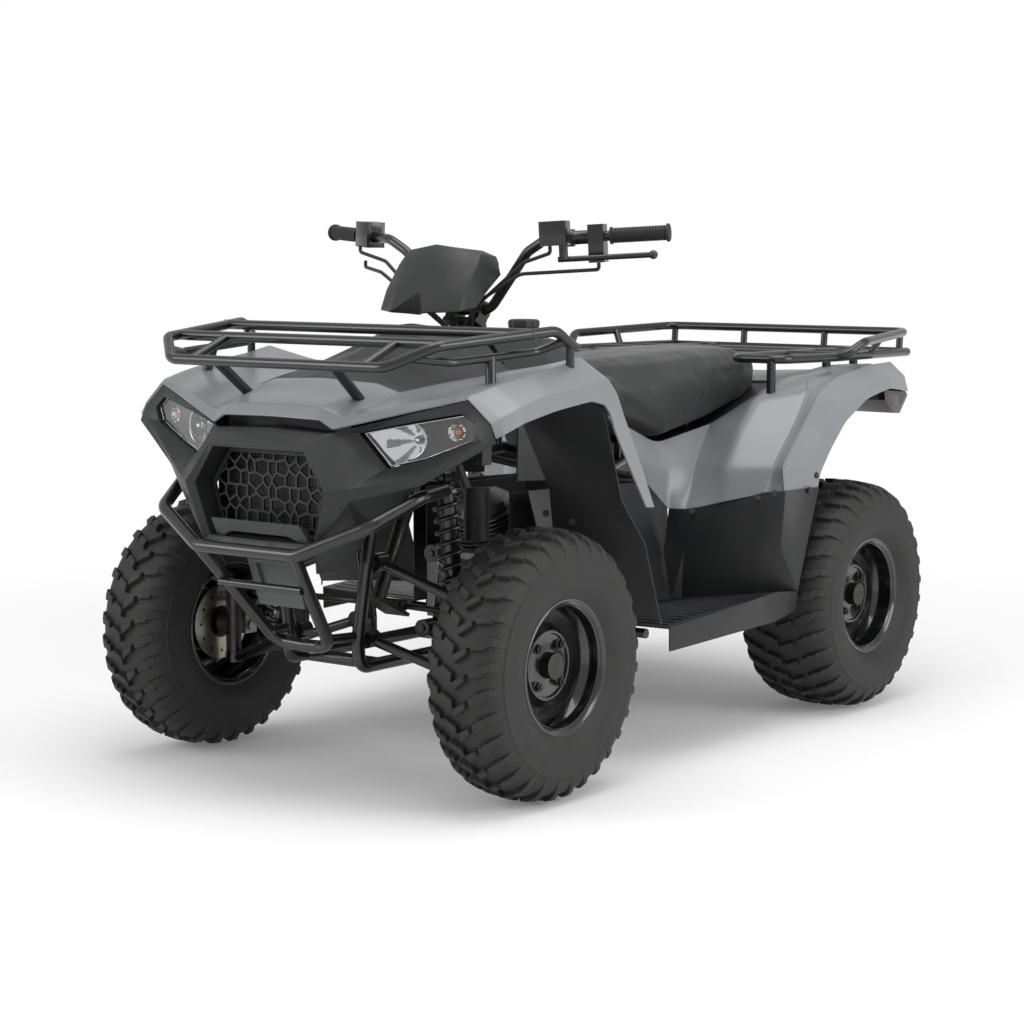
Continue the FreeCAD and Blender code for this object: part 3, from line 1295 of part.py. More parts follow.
def main():
    os.makedirs("parts", exist_ok=True)
    nodes = {
        "engine": engine(),
        "bumper": bumper(),
        "front_fascia": front_fascia(),
        "grille": grille(),
        "front_fender": front_fender(),
        "front_cover": front_cover(),
        "tank_cover": tank_cover(),
        "fuel_cap": fuel_cap(),
        "seat": seat(),
        "rear_fender": rear_fender(),
        "swingarm": swingarm(),
        "rear_axle": rear_axle(),
        "steering_stem": steering_stem(),
        "handlebar": handlebar(),
        "grips": Part.makeCompound(grips()),
        "bar_cover": bar_cover(),
        "bumper_cover": bumper_cover(),
        "controls": controls(),
        "cables": cables(),
        "shock_rear": shock_rear(),
        "canister": canister(),
    }
    nodes["front_rack"] = front_rack(nodes["front_fender"])
    nodes["rear_rack"] = rear_rack(nodes["rear_fender"])
    board = footboard()
    nodes["frame"] = frame(panel_stays(nodes, board))
    nodes["exhaust"] = exhaust(nodes["frame"])
    one_side = {
        "headlight": headlight(), "inner_guard": inner_guard(), "footboard": board,
        "rear_guard": rear_guard(), "tail_lamp": tail_lamp(nodes["rear_fender"]), "shock_front": shock_front(),
        "a_arms": Part.makeCompound([a_arm(lower_pivot, lower_ball, True), a_arm(upper_pivot, upper_ball, False)]),
        "knuckle": knuckle(), "tie_rod": tie_rod(),
    }
    for name, shape in one_side.items():
        nodes[name + "_left"] = shape
        nodes[name + "_right"] = mirrored(shape)
    hub_shape = front_hub()
    for side, word in ((1, "left"), (-1, "right")):
        nodes["hub_front_" + word] = at_wheel(hub_shape, side, front_wheel_x, front_axle_y)
    for end, width, dish, x, y in (("front", front_tyre_width, front_dish, front_wheel_x, front_axle_y),
                                   ("rear", rear_tyre_width, rear_dish, rear_wheel_x, rear_axle_y)):
        tyre_solid, rim_solid = wheel_pair(width, dish)
        for side, word in ((1, "left"), (-1, "right")):
            nodes["tyre_" + end + "_" + word] = at_wheel(tyre_solid, side, x, y)
            nodes["rim_" + end + "_" + word] = at_wheel(rim_solid, side, x, y)
    for name, shape in nodes.items():
        shape.exportStep("parts/" + name + ".step")
        print(name, shape.isValid(), len(shape.Solids), round(shape.Volume / 1000))
    print(len(nodes), "nodes")


main()
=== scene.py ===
# %% [markdown]
# # A utility quad bike
# The packed model already has every piece at its true size and place. This lesson dresses it: it gives
# each piece the surface of its real material, and it makes again, finer, the few pieces whose beauty is
# in their form, which are the tyres, the grey bodywork, the seat, the springs and the lamps.

# %% Load the fixed model
import json
import math

import bmesh
import bpy
from mathutils import Matrix, Vector


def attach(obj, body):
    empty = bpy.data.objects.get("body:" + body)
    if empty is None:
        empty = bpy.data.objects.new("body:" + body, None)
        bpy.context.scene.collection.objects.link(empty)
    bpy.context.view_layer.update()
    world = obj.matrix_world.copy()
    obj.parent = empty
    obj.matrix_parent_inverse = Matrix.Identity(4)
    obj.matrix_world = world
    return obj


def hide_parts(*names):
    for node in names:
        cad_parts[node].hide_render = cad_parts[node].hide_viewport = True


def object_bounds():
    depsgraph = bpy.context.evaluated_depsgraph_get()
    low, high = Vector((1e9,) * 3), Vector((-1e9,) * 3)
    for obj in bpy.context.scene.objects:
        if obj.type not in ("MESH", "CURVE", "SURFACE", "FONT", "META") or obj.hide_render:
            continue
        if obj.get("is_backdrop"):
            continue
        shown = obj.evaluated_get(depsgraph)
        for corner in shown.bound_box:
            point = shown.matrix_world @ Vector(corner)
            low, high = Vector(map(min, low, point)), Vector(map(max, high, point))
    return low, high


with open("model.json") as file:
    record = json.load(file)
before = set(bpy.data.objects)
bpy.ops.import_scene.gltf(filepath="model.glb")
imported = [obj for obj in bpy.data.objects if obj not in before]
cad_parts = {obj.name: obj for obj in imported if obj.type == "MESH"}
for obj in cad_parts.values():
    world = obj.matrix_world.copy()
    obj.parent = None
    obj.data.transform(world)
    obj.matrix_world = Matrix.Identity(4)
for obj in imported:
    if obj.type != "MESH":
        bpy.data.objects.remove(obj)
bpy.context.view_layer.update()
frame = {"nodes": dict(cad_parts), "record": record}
nodes = frame["nodes"]

# %% [markdown]
# Drawings of vehicles are in millimetres and Blender works in metres, so two small helpers carry points
# over. The second reads a point as shares of the bodywork's sizes, counted from an axle, because that is
# how the panels were drawn. Each axle could have an empty object as its own origin, but then every piece
# would need a parent, and a finished piece has to sit at the origin.

# %% Places
MM = 0.001
AXLE_Z = 279.5
FRONT_AXLE_Y, REAR_AXLE_Y = -693.0, 587.0
BODY_UNIT, BODY_BASE_Z = 500.0, 400.0


def place(x, y, z):
    """A point given in millimetres."""
    return Vector((x, y, z)) * MM


def on_body(axle_y, shares):
    """A point of the bodywork, given as shares of its sizes from an axle."""
    x, y, z = shares
    return place(x * BODY_UNIT, axle_y + y * BODY_UNIT, BODY_BASE_Z + z * BODY_UNIT)


print("wheelbase in millimetres:", REAR_AXLE_Y - FRONT_AXLE_Y)

# %% [markdown]
# Colours are written as the hex codes that a picture shows. Light adds up linearly, so each code is
# turned into linear values once, here, and never typed as raw numbers.

# %% Colours
def linear(code):
    """An sRGB hex code as linear red, green, blue and alpha."""
    parts = [int(code[i:i + 2], 16) / 255 for i in (1, 3, 5)]
    return [c / 12.92 if c <= 0.04045 else ((c + 0.055) / 1.055) ** 2.4 for c in parts] + [1.0]


print("a mid grey is", round(linear("#808080")[0], 3), "of white in linear light")

# %% [markdown]
# A few helpers build every material. One adds any node with its settings and links, one starts a finish,
# and two give it a grain and a slow drift of colour or gloss. Painted images could do this as well, but a
# pattern worked out in the object's own place needs no unwrapping and stays sharp however near one looks.

# %% Nodes and finishes
NOISE_LOW, NOISE_HIGH = 0.3, 0.7          # nearly all of a noise lies between these values


def put(tree, kind, settings=None, links=None):
    """Adds a node. Settings go to its sockets or to its own properties, links join sockets to outputs."""
    made = tree.nodes.new(kind)
    for key, value in (settings or {}).items():
        if isinstance(key, int) or key in made.inputs:
            made.inputs[key].default_value = value
        else:
            setattr(made, key, value)
    for key, (source, output) in (links or {}).items():
        tree.links.new(source.outputs[output], made.inputs[key])
    return made


def finish(name, colour, settings):
    """A new material with one plain colour, and the main shader's values."""
    material = bpy.data.materials.new(name)
    material.use_nodes = True
    shader = material.node_tree.nodes["Principled BSDF"]
    shader.inputs["Base Color"].default_value = linear(colour)
    for key, value in settings.items():
        shader.inputs[key].default_value = value
    return material


def soft_blobs(material, size_mm, detail=3.0, rough=0.55):
    """A pattern in the object's own place, of soft blobs of about one size in millimetres."""
    tree = material.node_tree
    coordinates = put(tree, "ShaderNodeTexCoord")
    settings = {"Scale": 1 / (size_mm * MM), "Detail": detail, "Roughness": rough}
    return put(tree, "ShaderNodeTexNoise", settings, {"Vector": (coordinates, "Object")})


def grain(material, size_mm, depth_mm, strength=1.0):
    """Presses a fine grain into the surface."""
    tree = material.node_tree
    noise = soft_blobs(material, size_mm)
    bump = put(tree, "ShaderNodeBump", {"Strength": strength, "Distance": depth_mm * MM},
               {"Height": (noise, "Fac")})
    tree.links.new(bump.outputs["Normal"], tree.nodes["Principled BSDF"].inputs["Normal"])


def drift(material, socket, low, high, size_mm):
    """Lets a value or colour of the shader wander between two limits over a distance."""
    tree = material.node_tree
    noise = soft_blobs(material, size_mm, 2.0)
    if isinstance(low, str):
        mixed = put(tree, "ShaderNodeMix", {"data_type": "RGBA"}, {0: (noise, "Fac")})
        mixed.inputs[6].default_value, mixed.inputs[7].default_value = linear(low), linear(high)
        tree.links.new(mixed.outputs[2], tree.nodes["Principled BSDF"].inputs[socket])
    else:
        limits = {"From Min": NOISE_LOW, "From Max": NOISE_HIGH, "To Min": low, "To Max": high}
        spread = put(tree, "ShaderNodeMapRange", limits, {"Value": (noise, "Fac")})
        tree.links.new(spread.outputs["Result"], tree.nodes["Principled BSDF"].inputs[socket])


print("nearly all of a noise lies between", NOISE_LOW, "and", NOISE_HIGH)

# %% [markdown]
# The camera comes first, because everything is judged through it. It stands where the photographer
# stood: about four and a half metres off the front corner, chest high, with a long lens that looks
# slightly down. From so far away the near wheel looks hardly larger than the rest. A constraint could
# aim the camera at a point, but three angles also carry the slight tilt of the photographed floor.

# %% Camera
CAMERA_AT = (3232, -4487, 1114)
YAW, PITCH, ROLL, FOCAL_LENGTH, SENSOR_WIDTH = -36.8, 6.37, 0.3, 82.45, 36.0


def aim(position, yaw, pitch, roll, lens):
    """A camera at a point, turned by yaw about the vertical, down by pitch and tilted by roll."""
    yaw, pitch, roll = math.radians(yaw), math.radians(pitch), math.radians(roll)
    ahead = Vector((math.sin(yaw) * math.cos(pitch), math.cos(yaw) * math.cos(pitch), -math.sin(pitch)))
    right = ahead.cross(Vector((0, 0, 1))).normalized()
    up = right.cross(ahead)
    right, up = right * math.cos(roll) + up * math.sin(roll), up * math.cos(roll) - right * math.sin(roll)
    made = bpy.data.objects.new("camera", bpy.data.cameras.new("camera"))
    made.matrix_world = Matrix((right, up, -ahead)).transposed().to_4x4()
    made.location = position
    made.data.lens = lens
    made.data.sensor_width = SENSOR_WIDTH
    bpy.context.scene.collection.objects.link(made)
    return made


bpy.context.scene.view_settings.view_transform = "Standard"
bpy.context.scene.camera = aim(place(*CAMERA_AT), YAW, PITCH, ROLL, FOCAL_LENGTH)
to_axle = place(0, FRONT_AXLE_Y, AXLE_Z) - place(*CAMERA_AT)
print("camera to the front axle in metres:", round(to_axle.length, 2))

# %% [markdown]
# ## Studio
# Three large lamps light the machine softly from above, from the front and from its left side. Small
# lamps or a sun would draw hard edges on the floor, which a studio with softboxes doesn't have.

# %% Lamps
def lamp(name, position, target, size, watts):
    """A large square lamp that faces a point."""
    light = bpy.data.lights.new(name, "AREA")
    light.shape, light.size, light.energy = "SQUARE", size, watts
    made = bpy.data.objects.new(name, light)
    made.location = position
    made.rotation_euler = (Vector(target) - Vector(position)).to_track_quat("-Z", "Y").to_euler()
    bpy.context.scene.collection.objects.link(made)


lamp("overhead softbox", (0.6, -0.4, 4.2), (0, 0, 0.5), 3.2, 90)
lamp("front softbox", (-2.6, -4.2, 2.4), (0, -0.4, 0.6), 2.2, 60)
lamp("side softbox", (4.6, 0.6, 2.2), (0, 0.2, 0.6), 2.6, 80)
print("lamps:", len(bpy.data.lights))

# %% [markdown]
# The camera, and what it sees through glass, find a plain white sky. The machine is lit by a dimmer one,
# so that the shadow under the tyres stays and the greys aren't washed out.

# %% White sky
SKY_LIGHT = 0.62
world = bpy.data.worlds.new("white studio")
world.use_nodes = True
bpy.context.scene.world = world
sky = world.node_tree
path = put(sky, "ShaderNodeLightPath")
seen = put(sky, "ShaderNodeMath", {"operation": "MAXIMUM"},
           {0: (path, "Is Camera Ray"), 1: (path, "Is Transmission Ray")})
dim = put(sky, "ShaderNodeBackground", {"Color": linear("#ffffff"), "Strength": SKY_LIGHT})
white = put(sky, "ShaderNodeBackground", {"Color": linear("#ffffff"), "Strength": 1.0})
mixed_sky = put(sky, "ShaderNodeMixShader", None, {0: (seen, 0), 1: (dim, 0), 2: (white, 0)})
sky.links.new(mixed_sky.outputs[0], sky.nodes["World Output"].inputs["Surface"])
print("strength of the sky that lights the machine:", SKY_LIGHT)

# %% [markdown]
# The floor is pale and matt, and fades into the white with distance, as a curved paper sweep does. A
# modelled sweep would do the same, but its bend would show as a grey band from some sides.

# %% Floor
FLOOR_HALF = 40
FADE_FROM, FADE_TO, GLOW_NEAR = 1.2, 3.2, 0.12
floor = bpy.data.objects.new("floor", bpy.data.meshes.new("floor"))
floor_corners = [(x * FLOOR_HALF, y * FLOOR_HALF, 0) for x, y in ((-1, -1), (1, -1), (1, 1), (-1, 1))]
floor.data.from_pydata(floor_corners, [], [(0, 1, 2, 3)])
bpy.context.scene.collection.objects.link(floor)
matt = finish("studio floor, matt white", "#f6f6f6", {"Roughness": 0.9, "Specular IOR Level": 0.1})
sweep = matt.node_tree
coordinates = put(sweep, "ShaderNodeTexCoord")
away = put(sweep, "ShaderNodeVectorMath", {"operation": "LENGTH"}, {0: (coordinates, "Object")})
fade = put(sweep, "ShaderNodeMapRange",
           {"From Min": FADE_FROM, "From Max": FADE_TO, "To Min": GLOW_NEAR, "To Max": 1.0,
            "interpolation_type": "SMOOTHSTEP"}, {"Value": (away, "Value")})
glow = put(sweep, "ShaderNodeEmission", {"Color": linear("#ffffff"), "Strength": 1.0})
faded = put(sweep, "ShaderNodeMixShader", None,
            {0: (fade, "Result"), 1: (sweep.nodes["Principled BSDF"], 0), 2: (glow, 0)})
sweep.links.new(faded.outputs[0], sweep.nodes["Material Output"].inputs["Surface"])
floor.data.materials.append(matt)
floor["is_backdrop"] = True
print("the floor is", 2 * FLOOR_HALF, "metres wide")

# %% [markdown]
# ## Finishes
# Grey bodywork is injection-moulded ABS, coloured through and lightly polished: a soft sheen, a faint
# orange-peel ripple from the mould, and nothing metallic in it. The ripple could be drawn in the mesh,
# but it is a twentieth of a millimetre deep, so bump alone carries it.

# %% Grey ABS
grey_abs = finish("moulded ABS, satin grey", "#7b7f82",
                  {"Roughness": 0.34, "IOR": 1.53, "Coat Weight": 0.25, "Coat Roughness": 0.18})
drift(grey_abs, "Base Color", "#777b7e", "#7f8386", 160)
grain(grey_abs, 7, 0.05, 0.25)
print("made", grey_abs.name)

# %% [markdown]
# The black panels are polypropylene from a spark-eroded mould: a leathery grain that scatters the light
# and turns the highlights broad and dull. The guards low on the machine are the same plastic, plainer,
# and two plates at the front are a paler batch of it. Real grain is under a millimetre wide, too fine
# for this picture, so it is drawn three to five millimetres wide.

# %% Black polypropylene
black_pp = finish("moulded polypropylene, grained black", "#232425", {"Roughness": 0.48, "IOR": 1.49})
drift(black_pp, "Roughness", 0.42, 0.56, 40)
grain(black_pp, 3.2, 0.25, 0.5)
grey_pp = finish("moulded polypropylene, dark grey", "#4c4d4e", {"Roughness": 0.5, "IOR": 1.49})
grain(grey_pp, 3.2, 0.25, 0.5)
guard_pp = finish("moulded polypropylene, plain black", "#17181a", {"Roughness": 0.4, "IOR": 1.49})
drift(guard_pp, "Roughness", 0.34, 0.5, 90)
grain(guard_pp, 5, 0.12, 0.3)
print("made", ", ".join(plastic.name for plastic in (black_pp, grey_pp, guard_pp)))

# %% [markdown]
# Tubes and arms are steel under gloss black powder coat. Powder melts into a slightly pebbled film, so
# the long highlights along the tubes wobble a little. Rims are enamelled, which runs smoother and shines
# harder. Zinc plate is a warm, blotchy mirror, forged steel is dark and oily, and sand cast aluminium is
# pale with a coarse, matt skin.

# %% Powder coat, steel and aluminium
powder = finish("powder coat on steel tube, gloss black", "#121314",
                {"Roughness": 0.28, "IOR": 1.5, "Coat Weight": 0.4, "Coat Roughness": 0.15})
grain(powder, 4, 0.12, 0.35)
rim_black = finish("enamel on pressed steel, gloss black", "#0d0e0f",
                   {"Roughness": 0.18, "IOR": 1.5, "Coat Weight": 0.8, "Coat Roughness": 0.05})
drift(rim_black, "Roughness", 0.14, 0.26, 60)
zinc = finish("steel, zinc plated", "#b9b6ac", {"Metallic": 1.0, "Roughness": 0.32})
drift(zinc, "Base Color", "#a8a69d", "#c6c1ae", 12)
forged = finish("steel, forged and oiled", "#4d4c4a", {"Metallic": 1.0, "Roughness": 0.42})
drift(forged, "Roughness", 0.32, 0.55, 20)
grain(forged, 3, 0.2, 0.5)
cast = finish("aluminium, sand cast", "#a7a8a8", {"Metallic": 1.0, "Roughness": 0.45})
drift(cast, "Base Color", "#8c8d8d", "#b8b8b6", 30)
grain(cast, 2.5, 0.3, 0.6)
print("made", ", ".join(metal.name for metal in (powder, rim_black, zinc, forged, cast)))

# %% [markdown]
# Tyre rubber is carbon black and oil: very dark, matt, and a little browner where the mould's release
# agent dried. Grips are a softer, cleaner rubber. The seat's vinyl shines softly under its thin coat. All
# three have a grain of about a millimetre, which is drawn three times as coarse so that it shows.

# %% Rubber and vinyl
rubber = finish("vulcanised rubber, tyre", "#1b1c1b", {"Roughness": 0.62, "IOR": 1.52})
drift(rubber, "Base Color", "#161716", "#232321", 25)
grain(rubber, 3.5, 0.35, 0.6)
grip_rubber = finish("moulded rubber, grip", "#181818", {"Roughness": 0.6, "IOR": 1.52})
grain(grip_rubber, 3, 0.3, 0.6)
vinyl = finish("coated vinyl, seat cover", "#262727",
               {"Roughness": 0.46, "IOR": 1.5, "Sheen Weight": 0.12})
drift(vinyl, "Roughness", 0.4, 0.54, 60)
grain(vinyl, 3.0, 0.3, 0.5)
print("made", ", ".join(soft.name for soft in (rubber, grip_rubber, vinyl)))

# %% [markdown]
# A headlight is three materials in one another: a clear polycarbonate cover, a bowl with a bright film
# of aluminium inside, and an amber bulb for the turn signal. Some facets of the bowl look grey, because
# they mirror something dark. A white studio has nothing dark to mirror, so those facets get a darker
# film, which is a painted dark reflection. The tail lamps are smoked red.

# %% Lamp finishes
clear = finish("polycarbonate, clear", "#ffffff",
               {"Roughness": 0.03, "IOR": 1.45, "Transmission Weight": 1.0})
chrome = finish("aluminium film, mirror", "#b9bbbd", {"Metallic": 1.0, "Roughness": 0.08})
drift(chrome, "Roughness", 0.05, 0.14, 15)
# A darker copy of the mirror film for some facets of the bowl: a painted dark reflection.
dark_reflection_film = finish("aluminium film, facet with painted dark reflection", "#6c6e70", {"Metallic": 1.0, "Roughness": 0.2})
amber = finish("glass, amber", "#d9742a", {"Roughness": 0.15, "IOR": 1.5, "Coat Weight": 0.5})
drift(amber, "Base Color", "#c9611d", "#e08a3c", 6)
red_lens = finish("polycarbonate, smoked red", "#1d0f10",
                  {"Roughness": 0.16, "IOR": 1.58, "Coat Weight": 0.6})
drift(red_lens, "Base Color", "#180d0e", "#261314", 25)
print("made", ", ".join(glass.name for glass in (clear, chrome, dark_reflection_film, amber, red_lens)))

# %% [markdown]
# Each node of the model now takes its finish by the slot that the record gives it. The slot is the
# family of material, so one table dresses the whole machine, and only the low guards step out of it.

# %% Dress the nodes
SIDES = (("left", 1), ("right", -1))
finish_of_slot = {
    "frame_black": powder, "engine_metal": cast, "steel": forged, "black_plastic": black_pp,
    "grey_plastic": grey_abs, "seat_vinyl": vinyl, "lamp_clear": clear, "lamp_red": red_lens,
    "shock_black": powder, "bar_black": powder, "grip_rubber": grip_rubber, "tyre": rubber,
    "rim_black": rim_black,
}
for part in frame["record"]["subparts"]:
    thing = nodes[part["node"]]
    thing.data.materials.clear()
    thing.data.materials.append(finish_of_slot[part["material_slot"]])
for name in ("inner_guard", "footboard", "rear_guard"):
    for word, side in SIDES:
        nodes[name + "_" + word].data.materials[0] = guard_pp

# %% [markdown]
# No moulded edge is perfectly sharp. Each node's loose triangles are joined and shaded as one surface,
# and a narrow bevel on the sharp edges catches a thin line of light along every crease. Modifiers do it,
# because the nodes' own meshes have to stay as they came.

# %% Soft edges
WELD_DISTANCE = 0.00005
MOULDED_EDGE, GUARD_EDGE = 1.6, 1.8


def set_inputs(modifier, values):
    """Sets a modifier's inputs by their names in its tree."""
    for item in modifier.node_group.interface.items_tree:
        if item.in_out == "INPUT" and item.name in values:
            modifier[item.identifier] = values[item.name]


def new_tree(name, inputs):
    """An empty node tree that takes geometry and a few more inputs, and gives geometry."""
    tree = bpy.data.node_groups.new(name, "GeometryNodeTree")
    for label, kind in (("Geometry", "Geometry"), *inputs):
        tree.interface.new_socket(label, in_out="INPUT", socket_type="NodeSocket" + kind)
    tree.interface.new_socket("Geometry", in_out="OUTPUT", socket_type="NodeSocketGeometry")
    return tree


def shading_by_angle():
    """A node tree that shades all but the edges sharper than an angle as one surface."""
    tree = new_tree("shading by angle", [("Angle", "Float")])
    given = put(tree, "NodeGroupInput")
    smooth = put(tree, "GeometryNodeSetShadeSmooth", {"domain": "FACE", "Shade Smooth": True},
                 {"Geometry": (given, "Geometry")})
    fold = put(tree, "GeometryNodeInputMeshEdgeAngle")
    sharp = put(tree, "ShaderNodeMath", {"operation": "GREATER_THAN"}, {0: (fold, 0), 1: (given, "Angle")})
    edges = put(tree, "GeometryNodeSetShadeSmooth", {"domain": "EDGE", "Shade Smooth": False},
                {"Geometry": (smooth, 0), "Selection": (sharp, 0)})
    put(tree, "NodeGroupOutput", None, {0: (edges, 0)})
    return tree


shading_tree = shading_by_angle()


def soften(thing, width_mm, angle=25):
    """Welds a piece, rounds its sharp edges and shades its shallow facets as one surface."""
    weld = thing.modifiers.new("weld", "WELD")
    weld.merge_threshold = WELD_DISTANCE
    bevel = thing.modifiers.new("soft edges", "BEVEL")
    bevel.width, bevel.segments, bevel.limit_method = width_mm * MM, 2, "ANGLE"
    bevel.angle_limit = math.radians(angle)
    bevel.use_clamp_overlap = True
    shade = thing.modifiers.new("shading", "NODES")
    shade.node_group = shading_tree
    set_inputs(shade, {"Angle": math.radians(angle)})


for name in ("front_fascia", "bar_cover", "tank_cover", "controls"):
    soften(nodes[name], MOULDED_EDGE)
for name in ("inner_guard", "footboard", "rear_guard", "tail_lamp"):
    for word, side in SIDES:
        soften(nodes[name + "_" + word], GUARD_EDGE)
print("softened", len([thing for thing in nodes.values() if thing.modifiers]), "nodes")

# %% [markdown]
# ## A drawing board for new pieces
# Every new piece is drawn from a few kinds of shape: something turned on a lathe, a wire swept along a
# path, a box. Blender's own primitives would each make an object to be moved and joined. Points in a
# list need neither, and they land in their place at once.

# %% Drawing board
class Draft:
    """Points and faces of a piece while it is drawn, in millimetres."""

    def __init__(self):
        self.points, self.faces, self.finish_at = [], [], []

    def add(self, points, faces, finish_index=0):
        """Adds points, faces between them, and which of the piece's finishes the faces take."""
        first = len(self.points)
        self.points += [Vector(p) for p in points]
        self.faces += [tuple(first + i for i in face) for face in faces]
        self.finish_at += [finish_index] * len(faces)

    def lathe(self, start, axis, profile, finish_index=0, turns=48, closed=False):
        """Turns pairs of distance and radius about an axis. The ends are capped, or joined if closed."""
        start, axis = Vector(start), Vector(axis).normalized()
        side = axis.orthogonal().normalized()
        other = axis.cross(side)
        count, points, faces = len(profile), [], []
        for i in range(turns):
            angle = 2 * math.pi * i / turns
            way = side * math.cos(angle) + other * math.sin(angle)
            points += [start + axis * along + way * radius for along, radius in profile]
        for i in range(turns):
            a, b = i * count, (i + 1) % turns * count
            for k in range(count if closed else count - 1):
                faces.append((a + k, a + (k + 1) % count, b + (k + 1) % count, b + k))
        if not closed:
            faces += [tuple(i * count + end for i in range(turns)) for end in (0, count - 1)]
        self.add(points, faces, finish_index)

    def rod(self, a, b, radius, finish_index=0, turns=24):
        """A round bar between two points, with its end edges broken."""
        a, b = Vector(a), Vector(b)
        length, chamfer = (b - a).length, min(radius * 0.15, 1.0)
        profile = [(0, radius - chamfer), (chamfer, radius), (length - chamfer, radius),
                   (length, radius - chamfer)]
        self.lathe(a, b - a, profile, finish_index, turns)

    def sweep(self, path, radius, finish_index=0, sides=10):
        """A round wire along a path."""
        points, faces, side = [], [], None
        for i, here in enumerate(path):
            ahead = (path[min(i + 1, len(path) - 1)] - path[max(i - 1, 0)]).normalized()
            across = side - ahead * side.dot(ahead) if side else ahead.orthogonal()
            side = across.normalized()
            other = ahead.cross(side)
            for k in range(sides):
                angle = 2 * math.pi * k / sides
                points.append(here + (side * math.cos(angle) + other * math.sin(angle)) * radius)
        for i in range(len(path) - 1):
            a, b = i * sides, (i + 1) * sides
            faces += [(a + k, a + (k + 1) % sides, b + (k + 1) % sides, b + k) for k in range(sides)]
        faces += [tuple(range(sides)), tuple(range((len(path) - 1) * sides, len(path) * sides))]
        self.add(points, faces, finish_index)

    def box(self, low, high, finish_index=0):
        """A box between two corners."""
        xs, ys, zs = zip(low, high)
        points = [(x, y, z) for z in zs for y in ys for x in xs]
        faces = [(0, 2, 3, 1), (4, 5, 7, 6), (0, 1, 5, 4), (2, 6, 7, 3), (0, 4, 6, 2), (1, 3, 7, 5)]
        self.add(points, faces, finish_index)

    def box_pair(self, low, high):
        """A box between two corners, and its mirror image on the other side of the machine."""
        for way in (1, -1):
            xs = sorted((low[0] * way, high[0] * way))
            self.box((xs[0], *low[1:]), (xs[1], *high[1:]))


print("Draft can", ", ".join(way for way in vars(Draft) if not way.startswith("_")))

# %% [markdown]
# A finished drawing is handed over as one piece that rides on a body of the machine. Points that fall
# together are merged first and all faces turned outwards, since a swept or turned shape may come out
# inside out.

# %% From a drawing to a piece
DOUBLE_DISTANCE = 0.00002


def cleaned(thing, sharp_degrees=38):
    """Merges doubled points, turns every face outwards and smooths all but the sharp edges."""
    shape = bmesh.new()
    shape.from_mesh(thing.data)
    bmesh.ops.remove_doubles(shape, verts=shape.verts, dist=DOUBLE_DISTANCE)
    bmesh.ops.recalc_face_normals(shape, faces=shape.faces)
    shape.to_mesh(thing.data)
    shape.free()
    thing.data.polygons.foreach_set("use_smooth", [True] * len(thing.data.polygons))
    thing.data.set_sharp_from_angle(angle=math.radians(sharp_degrees))


def piece(name, draft, finishes, body, node=None, side=1):
    """Hands a drawing over as a piece. It may take a node's place, and side -1 makes the mirror image."""
    mesh = bpy.data.meshes.new(name)
    mesh.from_pydata([(p.x * side * MM, p.y * MM, p.z * MM) for p in draft.points], [], draft.faces)
    for material in finishes:
        mesh.materials.append(material)
    mesh.polygons.foreach_set("material_index", draft.finish_at)
    made = bpy.data.objects.new(name, mesh)
    bpy.context.scene.collection.objects.link(made)
    cleaned(made)
    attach(made, body)
    if node:
        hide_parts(node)
    return made


def bake(thing):
    """Turns a piece with modifiers into a plain mesh."""
    seen_by = bpy.context.evaluated_depsgraph_get()
    mesh = bpy.data.meshes.new_from_object(thing.evaluated_get(seen_by))
    thing.modifiers.clear()
    thing.data = mesh


print("nodes that pieces may replace:", len(nodes))

# %% [markdown]
# ## Tyres
# The tread has thirty-two pitches. Each is a small split arrowhead on the crown and a long bar on either
# shoulder that leans the same way and wraps down onto the sidewall. One pitch is drawn, and Geometry
# Nodes sets it round the wheel, because a change to the drawing then changes the whole tread.

# %% Tyre shape
TYRE_RADIUS, BEAD_RADIUS, PITCHES = 279.5, 127.6, 32
TREAD_DEPTH, TREAD_FROM = 12.0, 0.57
SIDE_SHARES = [(0.80, 0.0), (0.815, 0.06), (0.845, 0.11), (0.93, 0.20), (0.985, 0.32), (1.0, 0.45),
               (0.995, 0.57), (0.975, 0.68), (0.95, 0.765), (0.90, 0.845), (0.82, 0.905), (0.70, 0.948),
               (0.52, 0.978), (0.28, 0.995), (0.0, 1.0)]
BLOCK_ROOT, BLOCK_FLARE, BLOCK_DRAW = 3, 1, 1.5
SIDE_STAGGER, SHOULDER_STAGGER = 0.3, 0.45
BLOCK_EDGE = 0.0012
BEAD_WIDTH, INNER_WALL = 8, ((0.9, 50), (0.82, 105))       # share of half the width, height over the bead


def carcass_radius(x_share):
    """Radius of the tyre's skin at a share of its half width, on the tread side."""
    crown = TYRE_RADIUS - TREAD_DEPTH
    upper = [p for p in SIDE_SHARES if p[1] >= TREAD_FROM]
    for (x_outer, low), (x_inner, high) in zip(upper, upper[1:]):
        if x_inner <= x_share <= x_outer:
            share = low + (high - low) * (x_outer - x_share) / (x_outer - x_inner)
            return BEAD_RADIUS + (crown - BEAD_RADIUS) * share
    return BEAD_RADIUS + (crown - BEAD_RADIUS) * upper[0][1]


